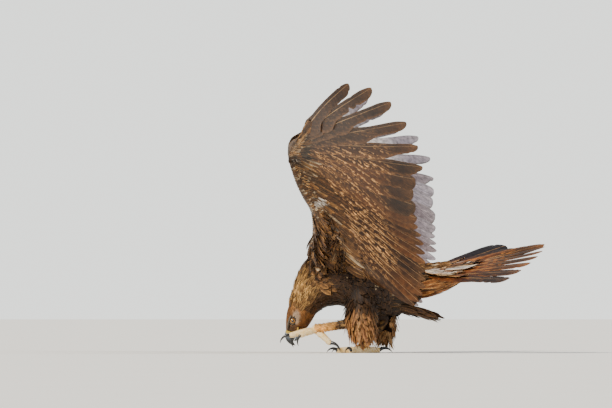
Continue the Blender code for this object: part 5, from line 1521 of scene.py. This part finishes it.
def eye_finish(side):
    """Wet eye: rings about the eye's axis, black pupil, amber iris with dark rim and fine spokes."""
    made, tree, surface = new_finish(f"wet cornea over amber iris, {side}")
    sign = -1 if side == "left" else 1
    space = add(tree, "TexCoord")
    centre = in_head(0.0, 0.0, sign * EYE_SPREAD)
    moved = add(tree, "Mapping", [(0, space.outputs["Object"])])
    moved.inputs[1].default_value = tuple(-centre)
    apart = add(tree, "SeparateXYZ", [(0, moved)])
    flat = add(tree, "CombineXYZ", [(0, apart.outputs[0]), (2, apart.outputs[2])])
    radius = add(tree, "VectorMath", [(0, flat)], operation="LENGTH")
    spokes = add(tree, "TexNoise", [(0, space.outputs["Object"])], in_2=900.0, in_3=3.0)
    wavy = add(tree, "Math", [(0, spokes), (2, radius.outputs[1])],
               operation="MULTIPLY_ADD", in_1=0.0007)
    rings = add(tree, "MapRange", [(0, wavy)], in_1=0.0, in_2=0.0095)
    shades = add(tree, "ValToRGB", [(0, rings)])
    ramp = shades.color_ramp
    ramp.elements[0].position = 0.0
    ramp.elements[0].color = (0.002, 0.002, 0.002, 1)
    ramp.elements[1].position = 0.37
    ramp.elements[1].color = (0.003, 0.002, 0.002, 1)
    for place, code in ((0.41, "#6e4212"), (0.52, "#a8762a"), (0.66, "#86581c"), (0.74, "#1d0f07")):
        ramp.elements.new(place).color = (*linear(code), 1)
    tree.links.new(shades.outputs[0], surface.inputs["Base Color"])
    damp = add(tree, "MapRange", [(0, spokes)], in_3=0.04, in_4=0.10)
    tree.links.new(damp.outputs[0], surface.inputs["Roughness"])
    surface.inputs["IOR"].default_value = 1.38
    surface.inputs["Coat Weight"].default_value = 1.0
    surface.inputs["Coat Roughness"].default_value = 0.02
    return made


# Rim of the lids and the gape: bare wrinkled skin, soft gloss
lid_skin = stained_finish("bare eyelid skin, wrinkled", 900.0, 3.0, "#2b2520", "#6f6558", 0.5,
                          dents=(0.4, 0.0003))

gape_skin = stained_finish("gape skin, soft and yellow", 500.0, 3.0, "#b98e2e", "#e9cd75", 0.45)


def eyeball(side):
    """A sphere in rings about the axis across the head, flattened a little towards its poles."""
    sign = -1 if side == "left" else 1
    slope = np.linspace(-0.99, 0.99, 28)[:, None] * math.pi / 2
    turn = np.arange(40)[None] * 2 * math.pi / 40
    rings = np.stack((np.cos(slope) * np.cos(turn), np.sin(slope) + 0 * turn, np.cos(slope) * np.sin(turn)),
                     -1)
    rings = in_head(0.0, 0.0, sign * EYE_SPREAD) + rings * EYE_RADIUS
    points, faces = closed_loft(rings)
    made = piece_of(f"cornea_{side}", points, faces, [eye_finish(side)])
    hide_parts(f"eye_{side}")


def ring_about_eye(sign, radius, thick, depth_out, squash):
    """A closed ring about the eye: a circle squashed from above and below, its section an ellipse."""
    turn = np.arange(56) * 2 * math.pi / 56
    out = (FORWARD * np.cos(turn)[:, None] * 1.10 + CHINWARD * np.sin(turn)[:, None] * squash)
    middle = in_head(0.0, 0.0, sign * (EYE_SPREAD + depth_out)) + out * radius
    across = unit(out)
    section = np.arange(10) * 2 * math.pi / 10
    rings = (middle[:, None] + across[:, None] * (thick * np.cos(section))[None, :, None]
             + ACROSS * (sign * thick * 1.1 * np.sin(section))[None, :, None])
    faces = grid_faces(56, 10)
    seam = np.stack((np.arange(10), (np.arange(10) + 1) % 10), -1)
    last = 55 * 10
    close = np.vstack((np.column_stack((last + seam[:, 0], last + seam[:, 1], seam[:, 1])),
                       np.column_stack((last + seam[:, 0], seam[:, 1], seam[:, 0]))))
    points = rings.reshape(-1, 3)
    return points, outwards(points, np.vstack((faces, close)))


def build_face():
    """Lids, the brow's ridge over each eye, and the yellow corners of the gape."""
    rims, ridges, gapes = [], [], []
    for sign in (-1, 1):
        rims.append(ring_about_eye(sign, 0.0079, 0.0011, 0.0050, 0.86))
        places = np.array(((0.0255, -0.0050, 0.0130), (0.0180, -0.0075, 0.0165), (0.0080, -0.0092, 0.0208),
                           (-0.0040, -0.0094, 0.0240), (-0.0130, -0.0085, 0.0258)))
        path = smooth_rows(places, 6)
        path = in_head(path[:, 0], path[:, 1], sign * path[:, 2])
        radii = np.interp(np.linspace(0, 1, len(path)), (0, 0.3, 0.75, 1), (0.0012, 0.0032, 0.0036, 0.0012))
        ridges.append(closed_loft(round_path(path, radii, 14, CHINWARD, 0.7)))
        places = np.array(((0.0300, 0.0190, 0.0128), (0.0240, 0.0192, 0.0168), (0.0170, 0.0190, 0.0205),
                           (0.0115, 0.0182, 0.0228)))
        path = smooth_rows(places, 6)
        for offset in (-0.0008, 0.0009):
            line = in_head(path[:, 0], path[:, 1] + offset, sign * path[:, 2])
            radii = np.interp(np.linspace(0, 1, len(path)), (0, 0.8, 1), (0.0010, 0.0011, 0.0006))
            gapes.append(closed_loft(round_path(line, radii, 10, CHINWARD, 0.8)))
    for name, shapes, finish in (("eyelids", rims, lid_skin), ("brows", ridges, lid_skin),
                                 ("gape", gapes, gape_skin)):
        points, faces = joined(shapes)
        piece_of(name, points, faces, [finish])


def bill_sheath(culmen, tomium, widths, squareness):
    """A horn sheath between two guide lines. Its rings run from the upper line to the cutting edge,
    their sides powers of the sine and cosine, so that the ridge is round and the edge is keen."""
    guide = smooth_rows(np.column_stack((culmen, tomium, widths)), 8)
    angles = np.arange(32) * 2 * math.pi / 32
    top, bottom = in_head(guide[:, 0], guide[:, 1]), in_head(guide[:, 2], guide[:, 3])
    lift = np.sign(np.cos(angles)) * np.abs(np.cos(angles)) ** squareness
    spread = np.sign(np.sin(angles)) * np.abs(np.sin(angles)) ** squareness
    return ((top + bottom)[:, None] / 2 + (top - bottom)[:, None] / 2 * lift[None, :, None]
            + ACROSS * (guide[:, 4:5] * spread)[..., None])


def build_bill():
    """Upper and lower sheaths. Each nostril is a slanting oval pressed into the cere."""
    rings = bill_sheath(CULMEN, UPPER_TOMIUM, UPPER_HALF_WIDTHS, 0.85)
    for sign in (-1, 1):
        spot = in_head(NOSTRIL[0] - 0.0018, NOSTRIL[1] + 0.002, sign * NOSTRIL[2])
        offset = rings - spot
        near_it = np.exp(-((offset @ FORWARD) / 0.0014) ** 2 - ((offset @ CHINWARD) / 0.0024) ** 2
                         - ((offset @ ACROSS) / 0.006) ** 2)
        rings = rings - ACROSS * (sign * 0.0030 * near_it)[..., None]
    points, faces = closed_loft(rings)
    upper = piece_of("horn_upper", points, faces, [bill_horn])
    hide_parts("bill_upper")
    points, faces = closed_loft(bill_sheath(LOWER_TOMIUM, CHIN, LOWER_HALF_WIDTHS, 0.85))
    lower = piece_of("horn_lower", points, faces, [bill_horn])
    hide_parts("bill_lower")


def claw_loft(base, direction, up, length, radius, start_angle):
    """A claw: an arc of even turn, its round section thinning by a power of the way to the tip, with
    a flat groove pressed into its underside."""
    bend = length / CLAW_TURN
    shares = np.linspace(0, 1, 40)
    heading = start_angle - CLAW_TURN * shares
    run = bend * (math.sin(start_angle) - np.sin(heading))
    rise = bend * (np.cos(heading) - math.cos(start_angle))
    path = base + direction * run[:, None] + up * rise[:, None]
    radii = radius * (1 - shares) ** 0.8 + 0.00025
    tangent = unit(np.gradient(path, axis=0))
    side = np.broadcast_to(np.cross(direction, up), path.shape)
    side = square_to(side, tangent)
    over = np.cross(side, tangent)
    angles = np.arange(20) * 2 * math.pi / 20
    flat = np.where(np.sin(angles) < -0.5, 0.72, 1.0)
    return (path[:, None] + radii[:, None, None] * (0.78 * np.cos(angles)[None, :, None] * side[:, None]
                                                    + (flat * np.sin(angles))[None, :, None]
                                                    * over[:, None]))


def build_claws(side, sole, up, directions, claw_starts):
    """The claws of a foot. On the standing foot each starts at the angle that sets its tip on the
    floor: half its turn less the arcsine of its root's height over its chord."""
    for name, direction in directions.items():
        length, _, claw_length, claw_radius = TOES[name]
        direction = unit(direction)
        lift = square_to(up, direction)
        end = sole - up * TOE_DROP + direction * (length - 0.001)
        if claw_starts:
            start = math.radians(claw_starts[name])
        else:
            chord = claw_length / CLAW_TURN * 2 * math.sin(CLAW_TURN / 2)
            start = CLAW_TURN / 2 - math.asin((end[2] - CLAW_TIP_HEIGHT) / chord)
        points, faces = closed_loft(claw_loft(end, direction, lift, claw_length, claw_radius, start))
        made = piece_of(f"talon_{side}_{name}", points, faces, [claw_horn])
        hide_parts(f"claw_{side}_{name}")


eyeball("left")
eyeball("right")
build_face()
build_bill()
build_claws("right", RIGHT_SOLE, UP, RIGHT_TOES, None)
build_claws("left", LEFT_SOLE, unit(LEFT_FOOT_UP), LEFT_TOES, LEFT_CLAW_STARTS)


# ======== Camera, floor and light ========

# A plain pale studio floor, out to where the eye meets the backdrop
floor_points = np.array(((-70, -70, 0), (70, -70, 0), (70, 70, 0), (-70, 70, 0)), float)
floor_mesh = bpy.data.meshes.new("studio_floor")
floor_mesh.from_pydata(floor_points.tolist(), [], [(0, 1, 2, 3)])
floor_finish = stained_finish("studio floor, matt pale paper", 3.0, 4.0, "#f4f3ef", "#faf9f6", 0.9)
floor_mesh.materials.append(floor_finish)
studio_floor = bpy.data.objects.new("studio_floor", floor_mesh)
bpy.context.scene.collection.objects.link(studio_floor)


def aimed(name, made, place, aim):
    """A camera or a light at a place, level and turned to what it looks at."""
    held = bpy.data.objects.new(name, made)
    bpy.context.scene.collection.objects.link(held)
    away = unit(np.asarray(place, float) - np.asarray(aim, float))
    level = unit(np.cross(UP, away))
    axes = np.eye(4)
    axes[:3, :4] = np.column_stack((level, np.cross(away, level), away, place))
    held.matrix_world = Matrix(axes.tolist())
    return held


lens = bpy.data.cameras.new("camera")
lens.sensor_width = 36.0
lens.lens = lens.sensor_width / FRAME_WIDTH / PIXEL * CAMERA_AWAY
lens.clip_end = 200.0
bpy.context.scene.camera = aimed("camera", lens, (0.65, -CAMERA_AWAY, 0.12), (-0.1404, 0.0, 0.3874))
# A warm key sun from the bird's front left and a cooler, wider fill: strength, colour, place, width
for name, strength, colour, place, width in (("key", 4.9, (1.0, 0.92, 0.80), (-3.0, -4.5, 4.6), 15),
                                             ("fill", 2.0, (0.95, 0.96, 1.0), (4.5, -2.0, 4.0), 40)):
    sun = bpy.data.lights.new(name, "SUN")
    sun.energy, sun.color, sun.angle = strength, colour, math.radians(width)
    aimed(name, sun, place, (0, 0, 0.3))
world = bpy.data.worlds.new("studio")
bpy.context.scene.world = world
world.use_nodes = True
# The backdrop looks paler than the light that it gives
tree = world.node_tree
rays = add(tree, "LightPath")
power = add(tree, "MapRange", [(0, rays.outputs["Is Camera Ray"])], in_3=0.42, in_4=2.1)
backdrop = tree.nodes["Background"]
backdrop.inputs[0].default_value = (*linear("#e6e8e4"), 1)
tree.links.new(power.outputs[0], backdrop.inputs[1])
